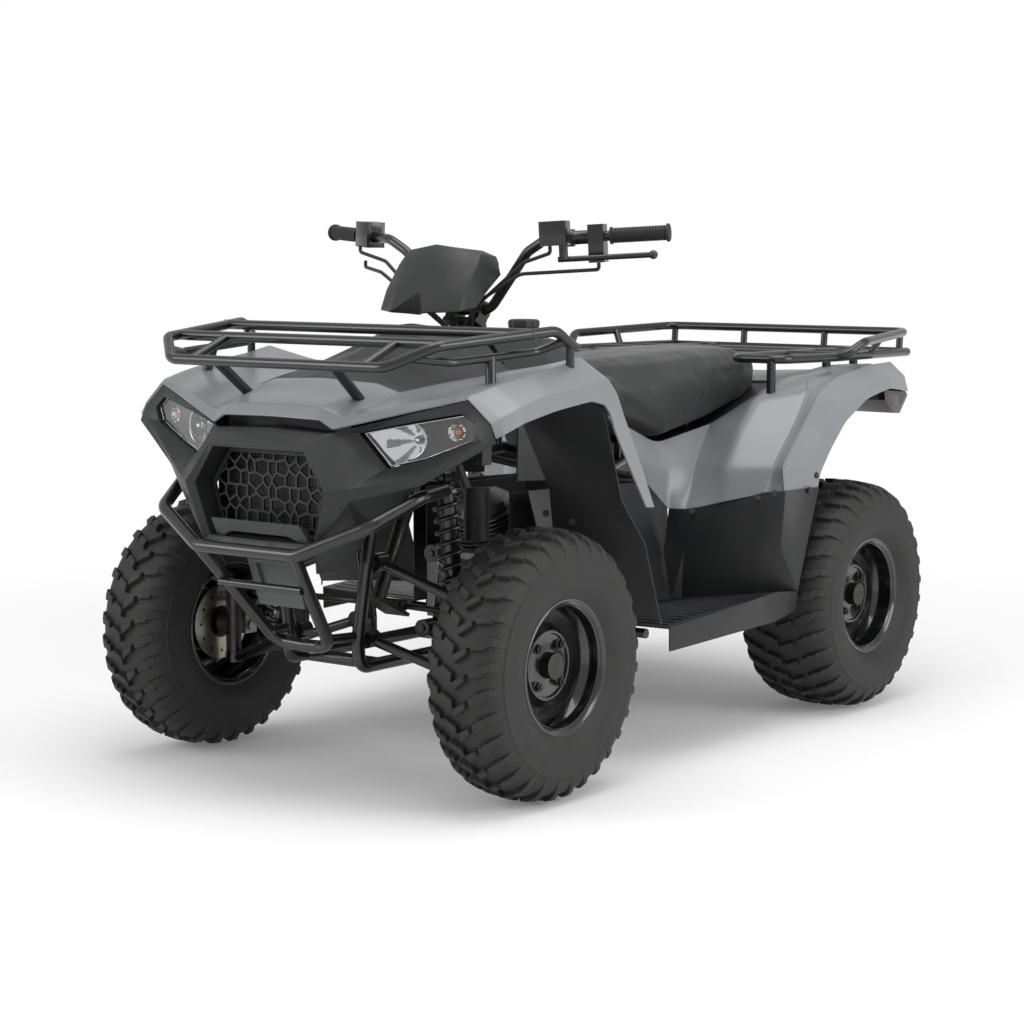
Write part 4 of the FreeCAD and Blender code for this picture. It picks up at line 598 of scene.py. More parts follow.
def block(draft, half, stations, side, shift):
    """A tread block: at each station its place across, its two edges along the tread, and its height."""
    points, faces = [], []
    for x_share, low, high, height in stations:
        skin = carcass_radius(x_share)
        section = ((low - BLOCK_FLARE, skin - BLOCK_ROOT), (low + BLOCK_DRAW, skin + height),
                   (high - BLOCK_DRAW, skin + height), (high + BLOCK_FLARE, skin - BLOCK_ROOT))
        for along, radius in section:
            turn = (along + shift) / TYRE_RADIUS
            points.append((side * x_share * half, -radius * math.cos(turn), radius * math.sin(turn)))
    for i in range(len(stations) - 1):
        a, b = 4 * i, 4 * i + 4
        faces += [(a + k, a + (k + 1) % 4, b + (k + 1) % 4, b + k) for k in range(4)]
    last = len(points) - 4
    draft.add(points, faces + [(0, 1, 2, 3), (last, last + 1, last + 2, last + 3)])


ARROW = [(0.02, -16, 5, 12), (0.17, -6, 13, 12), (0.32, 4, 20, 11.5)]
SHOULDER = [(0.42, -13, 3, 11), (0.54, -11, 7, 11), (0.55, -11, 12, 11), (0.72, -7, 16, 10.5),
            (0.73, -2, 19, 10), (0.86, 2, 22, 9), (0.93, 4, 24, 7.5), (0.975, 6, 24, 4.5)]


def one_pitch(half):
    """The blocks of one pitch: an arrowhead in two arms, and a stepped bar on each shoulder."""
    draft = Draft()
    gap = 2 * math.pi * TYRE_RADIUS / PITCHES
    for side, shift in ((1, 0.0), (-1, gap * SIDE_STAGGER)):
        block(draft, half, ARROW, side, shift)
        block(draft, half, SHOULDER, side, shift + gap * SHOULDER_STAGGER)
    return draft


print("one pitch in millimetres:", round(2 * math.pi * TYRE_RADIUS / PITCHES, 1))

# %% [markdown]
# An array modifier could turn the pitch round the hub with the help of an empty object, whose angle
# would have to follow every change of the count. A node tree divides the full turn by the count itself.
# Its result is made a plain mesh, so that it can be joined to the skin of the tyre.

# %% Repeat a mesh round the wheel
def round_the_wheel():
    """A node tree that repeats a mesh about the X axis."""
    tree = new_tree("round the wheel", [("Pitches", "Int"), ("Finish", "Material")])
    given = put(tree, "NodeGroupInput")
    line = put(tree, "GeometryNodeMeshLine", {"Offset": (0, 0, 0)}, {"Count": (given, "Pitches")})
    index = put(tree, "GeometryNodeInputIndex")
    step = put(tree, "ShaderNodeMath", {"operation": "DIVIDE", 0: 2 * math.pi}, {1: (given, "Pitches")})
    turn = put(tree, "ShaderNodeMath", {"operation": "MULTIPLY"}, {0: (index, 0), 1: (step, 0)})
    angles = put(tree, "ShaderNodeCombineXYZ", None, {"X": (turn, 0)})
    copies = put(tree, "GeometryNodeInstanceOnPoints", None,
                 {"Points": (line, "Mesh"), "Instance": (given, "Geometry"), "Rotation": (angles, 0)})
    real = put(tree, "GeometryNodeRealizeInstances", None, {"Geometry": (copies, 0)})
    painted = put(tree, "GeometryNodeSetMaterial", None,
                  {"Geometry": (real, 0), "Material": (given, "Finish")})
    put(tree, "NodeGroupOutput", None, {0: (painted, 0)})
    return tree


round_tree = round_the_wheel()


def tread(half):
    """The blocks of a whole tyre, as a plain mesh."""
    made = piece("pitch", one_pitch(half), [rubber], "chassis")
    made.data.polygons.foreach_set("use_smooth", [False] * len(made.data.polygons))
    soft = made.modifiers.new("edges", "BEVEL")
    soft.width, soft.segments, soft.limit_method = BLOCK_EDGE, 1, "ANGLE"
    soft.angle_limit = math.radians(50)
    modifier = made.modifiers.new("round", "NODES")
    modifier.node_group = round_tree
    set_inputs(modifier, {"Pitches": PITCHES, "Finish": rubber})
    bake(made)
    mesh = made.data
    bpy.data.objects.remove(made)
    return mesh


print("the tree has", len(round_tree.nodes), "nodes")

# %% [markdown]
# The skin under the blocks is one profile from bead to bead, turned about the axle. Blocks and skin are
# separate shells that overlap by the blocks' roots, which is quicker than a cut and looks the same.

# %% Whole tyres
def skin_of(half):
    """The tyre's skin from bead to bead, with a raised line high on each sidewall."""
    crown = TYRE_RADIUS - TREAD_DEPTH
    side = [(x * half, BEAD_RADIUS + (crown - BEAD_RADIUS) * z) for x, z in SIDE_SHARES]
    x_line, r_line = side[7]
    side[7:8] = [(x_line + 1.2, r_line - 3), (x_line + 1.6, r_line - 1.2), (x_line + 1.2, r_line + 1.2),
                 (x_line - 0.8, r_line + 3)]
    inner = [(side[0][0] - BEAD_WIDTH, side[0][1])] + [(half * x, BEAD_RADIUS + z) for x, z in INNER_WALL]
    profile = list(reversed(inner)) + side
    profile += [(-x, r) for x, r in reversed(profile[:-1])]
    draft = Draft()
    draft.lathe((0, 0, 0), (1, 0, 0), profile, turns=128, closed=True)
    return draft


def wheel_tyre(node, body, side, half, x, y):
    """One finished tyre, set on its wheel."""
    draft = skin_of(half)
    draft.points = [p + Vector((x, y, AXLE_Z)) for p in draft.points]
    made = piece(node + "_dressed", draft, [rubber], body, node, side)
    shape = bmesh.new()
    shape.from_mesh(tread(half))
    bmesh.ops.translate(shape, vec=place(x, y, AXLE_Z), verts=shape.verts)
    if side < 0:
        bmesh.ops.scale(shape, vec=(-1, 1, 1), verts=shape.verts)
        bmesh.ops.reverse_faces(shape, faces=shape.faces)
    shape.from_mesh(made.data)
    shape.to_mesh(made.data)
    shape.free()
    made.data.materials.clear()
    made.data.materials.append(rubber)
    return made


WHEELS = []         # name, body, side, half the tyre's width, place across and along, dish of the rim
for word, side in SIDES:
    WHEELS.append(("front_" + word, "front_wheel_" + word, side, 89.0, 457.0, FRONT_AXLE_Y, 28.0))
    WHEELS.append(("rear_" + word, "rear_wheels", side, 125.0, 427.0, REAR_AXLE_Y, 52.0))
for end, body, side, half, x, y, dish in WHEELS:
    made = wheel_tyre("tyre_" + end, body, side, half, x, y)
print("faces in a tyre:", len(made.data.polygons))

# %% [markdown]
# ## Rims
# A rim is one strip of steel rolled in steps, with a pressed disc welded into its well. Both are turned
# here. The raised ring round the bolts and the domed cap are what catch the light in the dark dish.

# %% Rims, nuts and caps
RIM_RADIUS, LIP_RADIUS, WELL_RADIUS, STEEL = 127.0, 140.5, 115.0, 3.0
BEAD_SHARE, LIP_WIDTH = 0.8, 4.0
NUTS, NUT_CIRCLE = 4, 55.0


def rim_piece(end, body, side, half_tyre, x, y, dish):
    """Barrel, disc, four nuts and a cap."""
    half = half_tyre * BEAD_SHARE + LIP_WIDTH
    barrel = [(half - 3, LIP_RADIUS), (half - 0.5, LIP_RADIUS - 1.5), (half - 0.5, LIP_RADIUS - 4),
              (half - 4, LIP_RADIUS - 9), (half - 9, RIM_RADIUS), (half * 0.62, RIM_RADIUS - 1),
              (half * 0.58, RIM_RADIUS - 3), (half * 0.42, WELL_RADIUS + 1), (half * 0.38, WELL_RADIUS)]
    barrel += [(-along, radius) for along, radius in reversed(barrel)]
    inside = [(along, radius - STEEL) for along, radius in barrel[2:-2]]
    inside = [(half - 3, LIP_RADIUS - STEEL)] + inside + [(3 - half, LIP_RADIUS - STEEL)]
    face = [(dish - 16, WELL_RADIUS - 2), (dish - 16, 90), (dish - 13, 84), (dish - 3, 77), (dish, 74),
            (dish + 4, 72), (dish + 5, 69), (dish + 4, 66), (dish, 64), (dish, 34), (dish + 1, 32),
            (dish + 1, 28)]
    disc = face + [(along - STEEL, radius) for along, radius in reversed(face)]
    centre = Vector((x, y, AXLE_Z))
    draft = Draft()
    draft.lathe(centre, (1, 0, 0), barrel + list(reversed(inside)), turns=96, closed=True)
    draft.lathe(centre, (1, 0, 0), disc, turns=96, closed=True)
    for k in range(NUTS):
        angle = math.radians(45 + 360 / NUTS * k)
        seat_at = centre + Vector((dish, NUT_CIRCLE * math.cos(angle), NUT_CIRCLE * math.sin(angle)))
        draft.lathe(seat_at, (1, 0, 0), [(0, 12), (2, 12), (3, 9.5), (11, 9.5), (12.5, 8)], 1, turns=6)
        draft.lathe(seat_at, (1, 0, 0), [(12, 5), (15, 5), (16, 4)], 1, turns=16)
    cap = [(dish - 2, 26.5), (dish + 14, 26), (dish + 19, 23), (dish + 21.5, 16), (dish + 22, 2)]
    draft.lathe(centre, (1, 0, 0), cap, 2)
    finishes = [rim_black, forged, black_pp]
    return piece("rim_" + end + "_dressed", draft, finishes, body, "rim_" + end, side)


for wheel in WHEELS:
    made = rim_piece(*wheel)
print("faces in a rim:", len(made.data.polygons))

# %% [markdown]
# ## Brakes behind the front wheels
# A disc turns with each wheel and a caliper rides on the knuckle. They show through the open side of the
# far wheel. The holes are dark plugs a fifth of a millimetre proud of the disc, painted shade that reads
# as holes at this size and keeps the disc a clean turned shape.

# %% Front brakes
DISC_X, DISC_RADIUS = 424.0, 84.0
HOLES, HOLE_CIRCLE, HOLE_RADIUS, PLUG_REACH = 12, 66, 4.5, 2.2
CALIPER_BEHIND, CALIPER_LENGTH, CALIPER_HALF, CALIPER_REACH = 58.0, 36, 34, 22
PAD_GAP, BRIDGE_HALF, BRIDGE_WALL, BRIDGE_REACH = 4, 26, 6, 5
BOSS_RADIUS, BOSS_LENGTH, BOSS_REACH = 13, 12, 30
DISC_PROFILE = [(-2, 36), (-2, 48), (-2, DISC_RADIUS - 0.5), (-1.5, DISC_RADIUS), (1.5, DISC_RADIUS),
                (2, DISC_RADIUS - 0.5), (2, 36)]
for word, side in SIDES:
    disc = Draft()
    disc.lathe((DISC_X, FRONT_AXLE_Y, AXLE_Z), (1, 0, 0), DISC_PROFILE, closed=True)
    for k in range(HOLES):
        angle = math.radians(360 / HOLES * k)
        hole = Vector((DISC_X - PLUG_REACH, FRONT_AXLE_Y + HOLE_CIRCLE * math.cos(angle),
                       AXLE_Z + HOLE_CIRCLE * math.sin(angle)))
        # Each plug is painted shade where the disc has a hole.
        disc.rod(hole, hole + Vector((2 * PLUG_REACH, 0, 0)), HOLE_RADIUS, 1, 12)
    piece("brake_disc_" + word, disc, [zinc, powder], "front_wheel_" + word, side=side)
    caliper = Draft()
    front = FRONT_AXLE_Y + CALIPER_BEHIND
    back = front + CALIPER_LENGTH
    caliper.box((DISC_X - CALIPER_REACH, front, AXLE_Z - CALIPER_HALF),
                (DISC_X - PAD_GAP, back, AXLE_Z + CALIPER_HALF))
    caliper.box((DISC_X - PAD_GAP, back - BRIDGE_WALL, AXLE_Z - BRIDGE_HALF),
                (DISC_X + BRIDGE_REACH, back, AXLE_Z + BRIDGE_HALF))
    for up in (-16, 16):
        boss = Vector((DISC_X - BOSS_REACH, front + 16, AXLE_Z + up))
        caliper.rod(boss, boss + Vector((BOSS_LENGTH, 0, 0)), BOSS_RADIUS)
    made = piece("caliper_" + word, caliper, [cast], "knuckle_" + word, side=side)
    soften(made, 2.5)
    bake(made)
print("faces in a caliper:", len(made.data.polygons))

# %% [markdown]
# ## Bodywork
# Moulded panels are broad, nearly flat surfaces between a few soft lines. Each is drawn as a coarse cage
# of points. A subdivision surface alone would shrink so coarse a cage, so it is halved twice first, which
# keeps the surface close to the drawing.

# %% Finer cages
def middle(a, b):
    """The point halfway between two cells, or nothing where the cage has a hole."""
    return tuple((p + q) / 2 for p, q in zip(a, b)) if a and b else None


def halved(rows):
    """A cage with a new row and a new column between every two."""
    wide = []
    for row in rows:
        wide.append([row[0]] + [cell for a, b in zip(row, row[1:]) for cell in (middle(a, b), b)])
    result = [wide[0]]
    for upper, lower in zip(wide, wide[1:]):
        result += [[middle(a, b) for a, b in zip(upper, lower)], lower]
    return result


print("a row of three cells, halved, has", len(halved([[(0, 0, 0)] * 3] * 2)[0]), "cells")

# %% [markdown]
# The cage becomes faces on both sides of the machine. A crease value on the rows and columns that are
# style lines keeps each as tight as the mould has it. A solidify gives the wall, inwards, so the outside
# stays where it was drawn.

# %% Panels from cages
JOIN_DISTANCE, PANEL_EDGE, PANEL_WALL, THIN_WALL = 0.0005, 0.0012, 4.0, 3.0


def cage_faces(rows, axle_y, sharp_columns, sharp_rows, crease):
    """Points, faces and creased edges of one mirrored cage."""
    points, faces, creases, index = [], [], {}, {}
    for r, row in enumerate(rows):
        for c, cell in enumerate(row):
            for side in ((1, -1) if cell and cell[0] else (1,)):
                if cell:
                    index[r, c, side] = len(points)
                    points.append(on_body(axle_y, (side * cell[0], cell[1], cell[2])))
    for r, c, side in list(index):
        index.setdefault((r, c, -side), index[r, c, side])
    for r in range(len(rows)):
        for c in range(len(rows[r])):
            for side in (1, -1):
                corners = [index.get((r + dr, c + dc, side)) for dr, dc in ((0, 0), (0, 1), (1, 1), (1, 0))]
                if None not in corners:
                    faces.append(tuple(corners if side > 0 else reversed(corners)))
                if c in sharp_columns and corners[0] is not None and corners[3] is not None:
                    creases[frozenset((corners[0], corners[3]))] = crease
                if r in sharp_rows and corners[0] is not None and corners[1] is not None:
                    creases[frozenset((corners[0], corners[1]))] = crease
    return points, faces, creases


def panel(name, node, cages, material, wall_mm=PANEL_WALL):
    """A moulded panel from one or more cages that share their edges."""
    shape = bmesh.new()
    layer = shape.edges.layers.float.new("crease_edge")
    for rows, axle_y, sharp_columns, sharp_rows, crease in cages:
        points, faces, creases = cage_faces(halved(halved(rows)), axle_y, {4 * c for c in sharp_columns},
                                            {4 * r for r in sharp_rows}, crease)
        corners = [shape.verts.new(p) for p in points]
        for face in faces:
            if len(set(face)) > 2:
                shape.faces.new([corners[i] for i in dict.fromkeys(face)])
        for pair, value in creases.items():
            edge = shape.edges.get([corners[i] for i in pair]) if len(pair) == 2 else None
            if edge:
                edge[layer] = value
    bmesh.ops.remove_doubles(shape, verts=shape.verts, dist=JOIN_DISTANCE)
    bmesh.ops.recalc_face_normals(shape, faces=shape.faces)
    if sum(face.normal.z * face.calc_area() for face in shape.faces) < 0:
        bmesh.ops.reverse_faces(shape, faces=shape.faces)
    for edge in shape.edges:
        if edge.is_boundary:
            edge[layer] = 1.0
    mesh = bpy.data.meshes.new(name)
    shape.to_mesh(mesh)
    shape.free()
    mesh.materials.append(material)
    mesh.polygons.foreach_set("use_smooth", [True] * len(mesh.polygons))
    made = bpy.data.objects.new(name, mesh)
    bpy.context.scene.collection.objects.link(made)
    rounding = made.modifiers.new("round", "SUBSURF")
    rounding.levels = rounding.render_levels = 2
    wall = made.modifiers.new("wall", "SOLIDIFY")
    wall.thickness, wall.offset = wall_mm * MM, -1.0
    edge_line = made.modifiers.new("edge", "BEVEL")
    edge_line.width, edge_line.segments = PANEL_EDGE, 2
    edge_line.limit_method, edge_line.angle_limit = "ANGLE", math.radians(50)
    bake(made)
    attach(made, "chassis")
    if node:
        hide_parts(node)
    return made


print("walls in millimetres:", PANEL_WALL, "and", THIN_WALL)

# %% [markdown]
# The hood runs from the nose over the pods and down the fender, and the dome covers the steering. Their
# rows go from the middle outwards. A sculpt could give such panels too, but a cage keeps every style line
# a row or a column that can be moved.

# %% Hood and dome
HOOD_CAGE = [
    [(0, -.598, .758), (.262, -.584, .752), (.324, -.578, .718), (.6, -.464, .79), (.84, -.364, .852),
     (.95, -.354, .756), (.972, -.354, .7)],
    [(0, -.57, .806), (.244, -.558, .8), (.35, -.538, .764), (.6, -.43, .824), (.848, -.338, .866),
     (.968, -.314, .776), (.996, -.336, .714)],
    [(0, -.268, .898), (.28, -.244, .884), (.4, -.248, .852), (.62, -.244, .864), (.856, -.214, .896),
     (.98, -.214, .812), (1.02, -.224, .758)],
    [None, None, (.45, -.014, .884), (.64, -.014, .90), (.868, .006, .936), (.99, -.014, .86),
     (1.02, -.014, .794)],
    [None, None, (.5, .192, .906), (.66, .206, .924), (.876, .206, .96), (1.0, .216, .882),
     (1.02, .228, .82)],
    [None, None, (.5, .346, .92), (.67, .356, .948), (.872, .356, .99), (.998, .37, .91),
     (1.016, .33, .80)],
    [None, None, None, None, (.91, .426, .92), (1.0, .44, .84), (1.016, .37, .76)],
    [None, None, None, None, (.96, .488, .792), (1.004, .49, .74), (1.016, .41, .68)],
    [None, None, None, None, (.984, .606, .58), (1.006, .60, .56), (1.014, .51, .54)],
    [None, None, None, None, (.99, .734, .344), (1.006, .72, .344), (1.012, .65, .35)],
]
COVER_CAGE = [
    [(0, -.31, .872), (.14, -.30, .868), (.29, -.28, .858), (.40, -.28, .826)],
    [(0, -.245, .896), (.14, -.235, .892), (.28, -.222, .883), (.41, -.20, .85)],
    [(0, .05, .965), (.14, .05, .96), (.26, .04, .93), (.47, -.012, .874)],
    [(0, .22, 1.05), (.13, .23, 1.04), (.25, .28, 1.0), (.52, .12, .888)],
    [(0, .30, 1.114), (.12, .31, 1.10), (.24, .35, 1.05), (.52, .20, .896)],
    [(0, .50, 1.09), (.13, .50, 1.08), (.24, .50, 1.05), (.52, .35, .908)],
]
hood_cages = [(HOOD_CAGE, FRONT_AXLE_Y, {1, 2, 4, 5}, {1}, 0.75)]
dome_cages = [(COVER_CAGE, FRONT_AXLE_Y, {2}, {2}, 0.4)]
print("points drawn for the hood:", sum(cell is not None for row in HOOD_CAGE for cell in row))

# %% [markdown]
# The tail arches over the rear wheels, and the tray lies under the seat. Their rows go from the back
# forwards. The knee joins the tail to the footwell and shares its last points, so the two become one
# skin.

# %% Tail, knee and tray
REAR_CAGE = [
    [(0, .64, .80), (0, .36, .79), (0, .226, .76), None, None, None, None],
    [(.44, .64, .82), (.44, .40, .815), (.40, .206, .78), (.38, -.114, .67), (.34, -.338, .584),
     (.43, -.608, .416), (.48, -.77, .204)],
    [(.62, .62, .85), (.62, .30, .86), (.62, -.10, .812), (.62, -.40, .72), (.64, -.56, .584),
     (.65, -.70, .402), (.66, -.738, .252)],
    [(.72, .60, .86), (.72, .30, .868), (.70, -.064, .828), (.83, -.248, .766), (.86, -.412, .624),
     (.866, -.628, .424), (.85, -.664, .30)],
    [(.84, .58, .874), (.86, .30, .868), (.86, -.02, .82), (.90, -.254, .754), (.924, -.426, .628),
     (.936, -.652, .43), (.936, -.628, .308)],
    [(.86, .70, .798), (.92, .40, .816), (.95, .06, .75), (.97, -.176, .686), (.974, -.34, .576),
     (.98, -.478, .41), (.984, -.468, .318)],
    [(.86, .744, .718), (.93, .42, .75), (.98, .09, .718), (1.0, -.168, .616), (1.0, -.302, .498),
     (1.0, -.40, .39), (1.0, -.426, .316)],
]
KNEE_CAGE = [
    [(.33, -1.21, .67), (.37, -1.05, .48), (.37, -.958, .35)],
    [(.30, -.76, .512), (.375, -.80, .40), (.40, -.796, .204)],
    [(.34, -.338, .584), (.43, -.608, .416), (.48, -.77, .204)],
]
TRAY_CAGE = [
    [(0, .25, .755), (0, .10, .72), (0, -.114, .66), (0, -.338, .575), (0, -.76, .50)],
    [(.41, .22, .775), (.40, .08, .73), (.385, -.114, .664), (.345, -.338, .578), (.305, -.76, .506)],
]
print("points drawn for the tail:", sum(cell is not None for row in REAR_CAGE for cell in row))

# %% [markdown]
# A shallow groove is pressed along the tail's flank. It could be cut out afterwards, but the mould rounds
# its edges as it does all others, so two more rows are laid into the cage and pressed in towards the axle.

# %% Groove and panels
AXLE_RISE = (AXLE_Z - BODY_BASE_Z) / BODY_UNIT


def sunk(near, far, share, depth):
    """A row between two rows, pressed in towards the axle."""
    result = []
    for a, b in zip(near, far):
        x, y, z = (p + (q - p) * share for p, q in zip(a, b))
        reach = math.hypot(y, z - AXLE_RISE)
        result.append((x, y - y / reach * depth, z - (z - AXLE_RISE) / reach * depth))
    return result


CHANNEL_DEPTH = 0.012
CHANNEL_EDGES = ((0.14, CHANNEL_DEPTH), (0.86, CHANNEL_DEPTH * 0.6))       # share of the way, depth there
channel = [sunk(REAR_CAGE[3], REAR_CAGE[4], share, depth) for share, depth in CHANNEL_EDGES]
grooved = REAR_CAGE[:4] + channel + REAR_CAGE[4:]
tail_cages = [(grooved, REAR_AXLE_Y, set(), {1, 3, 4, 5, 6, 7}, 0.65),
              (KNEE_CAGE, REAR_AXLE_Y, set(), {2}, 0.65)]
tray_cages = [(TRAY_CAGE, REAR_AXLE_Y, set(), set(), 0)]
hood = panel("front_bodywork", "front_fender", hood_cages, grey_abs)
tail = panel("rear_bodywork", "rear_fender", tail_cages, grey_abs)
panel("seat_tray", None, tray_cages, guard_pp, THIN_WALL)
dome = panel("dome", "front_cover", dome_cages, black_pp, THIN_WALL)
print("bodywork faces:", len(hood.data.polygons), len(tail.data.polygons), len(dome.data.polygons))

# %% [markdown]
# ## Seat
# A seat is foam under a stretched cover. Its form is a row of rings from the tank to the tail, a little
# smaller than the finished seat. Bevelled edges and an even mesh make it ready for the cloth.

# %% Form of the seat
SEAT_STATIONS = ((-1.27, .20, .80, .905), (-1.084, .28, .67, .915), (-.75, .345, .545, .93),
                 (-.366, .35, .612, .942), (0, .335, .695, .942), (.16, .30, .74, .91),
                 (.19, .25, .77, .86))
SEAT_RING = ((0, 1.0), (.55, .985), (.86, .93), (1.0, .70), (.98, 0), (.60, 0))
SEAT_EDGE, VOXEL = 0.018, 0.006


def seat_draft():
    """The seat's form: rings of points from the tank to the tail."""
    draft = Draft()
    points, size = [], 2 * len(SEAT_RING) - 1
    for y, half, low, top in SEAT_STATIONS:
        ring = [(half * x, y, low + (top - low) * z) for x, z in SEAT_RING]
        ring += [(-x, y, z) for x, y, z in reversed(ring[1:])]
        points += [on_body(REAR_AXLE_Y, cell) / MM for cell in ring]
    faces = []
    for i in range(len(SEAT_STATIONS) - 1):
        a, b = i * size, (i + 1) * size
        faces += [(a + k, a + (k + 1) % size, b + (k + 1) % size, b + k) for k in range(size)]
    last = (len(SEAT_STATIONS) - 1) * size
    draft.add(points, faces + [tuple(range(size)), tuple(range(last, last + size))])
    return draft


seat = piece("seat_cover", seat_draft(), [vinyl], "chassis", "seat")
edges = seat.modifiers.new("edges", "BEVEL")
edges.width, edges.segments, edges.limit_method = SEAT_EDGE, 3, "ANGLE"
edges.angle_limit = math.radians(30)
bake(seat)
remesh = seat.modifiers.new("remesh", "REMESH")
remesh.mode, remesh.voxel_size, remesh.use_smooth_shade = "VOXEL", VOXEL, True
bake(seat)
print("faces in the form of the seat:", len(seat.data.polygons))

# %% [markdown]
# A smooth sculpt looks like plastic. So a cloth simulation with slight pressure swells the form, and the
# result is applied, which gives the tight, faintly uneven skin of foam. No point may rise more than six
# millimetres, so the seat keeps its size.

# %% Cover of the seat
PUFF_LIMIT = 0.006
PRESSURE, CLOTH_FRAMES, CALM, CALM_TIMES = 4.0, 20, 0.5, 6
rest = [v.co.copy() for v in seat.data.vertices]
cloth = seat.modifiers.new("cloth", "CLOTH")
cloth.settings.use_pressure = True
cloth.settings.uniform_pressure_force = PRESSURE
cloth.settings.effector_weights.gravity = 0.0
for step in range(1, CLOTH_FRAMES + 1):
    bpy.context.scene.frame_set(step)
bake(seat)
for vertex, old in zip(seat.data.vertices, rest):
    moved = vertex.co - old
    if moved.length > PUFF_LIMIT:
        vertex.co = old + moved.normalized() * PUFF_LIMIT
bpy.context.scene.frame_set(1)
calm = seat.modifiers.new("calm", "SMOOTH")
calm.factor, calm.iterations = CALM, CALM_TIMES
bake(seat)
seat.data.polygons.foreach_set("use_smooth", [True] * len(seat.data.polygons))
print("seat faces:", len(seat.data.polygons))

# %% [markdown]
# ## Headlights
# Behind a clear cover lies one pressed bowl. Its inner part is a mirror about the main bulb, pressed in
# facets, and its outer part is a black shelf with a small round mirror for the amber turn signal. The
# relief is worked out point by point, where cut and joined solids would do too, so that every edge of
# the bowl meets the cover's edge.

# %% Relief of the bowl
LENS = [(.41, -.495, .70), (.525, -.47, .573), (.66, -.415, .608), (.852, -.357, .686), (.876, -.352, .74),
        (.815, -.368, .782), (.60, -.434, .74)]
LENS_PATCHES = ((0, 1, 2, 6), (6, 2, 3, 5), (5, 3, 4, 4))
LENS_SUNK, LENS_SLOPE, GLASS, BOWL_WALL, RELIEF_STEPS = 6.0, 0.33, 2.5, 36, 30
MAIN_BULB, TURN_BULB = (300.0, 738.0), (386.0, 757.0)
MAIN_EDGE_X, MAIN_RADIUS, TURN_RADIUS = 286.0, 38.0, 17.0
NEAREST, SHELF_DEPTH, TURN_DEPTH, MAIN_DEPTH, MAIN_REACH = 8, 13.0, 16, 26, 110
FACETS, FACET_RISE, FACET_FULL = 4, 9, 40       # in half a turn, their height, and where they reach it
SHADED_SHARE, SHADED_FROM, SHADED_TO = 0.4, 14, 62
MIRROR, SHELF, BULB, SHADED = range(4)


def bowl_depth(x, z):
    """Depth of the bowl behind the cover at a place, and the finish there."""
    to_main = math.hypot(x - MAIN_BULB[0], z - MAIN_BULB[1])
    to_turn = math.hypot(x - TURN_BULB[0], z - TURN_BULB[1])
    if to_turn < TURN_RADIUS:
        return NEAREST + TURN_DEPTH * (1 - (to_turn / TURN_RADIUS) ** 2), MIRROR
    if x < MAIN_EDGE_X or math.hypot(x - MAIN_EDGE_X, z - MAIN_BULB[1]) < MAIN_RADIUS:
        sector = (math.atan2(z - MAIN_BULB[1], x - MAIN_BULB[0]) / math.pi * FACETS) % 1.0
        # Facets in some sectors take the darker film, a painted dark reflection.
        shaded = sector < SHADED_SHARE and SHADED_FROM < to_main < SHADED_TO
        facet = FACET_RISE * abs(sector - 0.5) * min(1, to_main / FACET_FULL)
        depth = NEAREST + MAIN_DEPTH * max(0.0, 1 - to_main / MAIN_REACH) + facet
        return depth, SHADED if shaded else MIRROR
    return SHELF_DEPTH, SHELF


def bent(corners, u, v):
    """A point of a four-cornered patch."""
    a, b, c, d = corners
    return (a * (1 - u) + d * u) * (1 - v) + (b * (1 - u) + c * u) * v


print("depth behind the two bulbs:", bowl_depth(*MAIN_BULB)[0], bowl_depth(*TURN_BULB)[0])

# %% [markdown]
# The cover is a thin shell of three flat panes. Bright wires run along its edge and round both mirrors,
# and catch the light where the relief alone would look flat. Each bulb is a small ball off the lathe.

# %% Headlights
EDGE_WIRE, RING_WIRE, RING_DEPTH, RING_STEPS = 1.5, 2.0, 11, 24
BOWL_RINGS = (((MAIN_EDGE_X, MAIN_BULB[1]), MAIN_RADIUS, -65, 62), (TURN_BULB, TURN_RADIUS, 0, 360))
BULBS = ((MAIN_BULB, 8.0, MIRROR, 24.0), (TURN_BULB, 7.0, BULB, 16.0))     # place, radius, finish, depth
BALL_ANGLES = (0.0, 0.5, 1.0, 1.57, 2.2, 3.1)


def behind_cover(x, depth):
    """The place along the machine of a point at some depth behind the sloping cover."""
    return lens_front + (x - rim_points[0].x) * LENS_SLOPE + depth


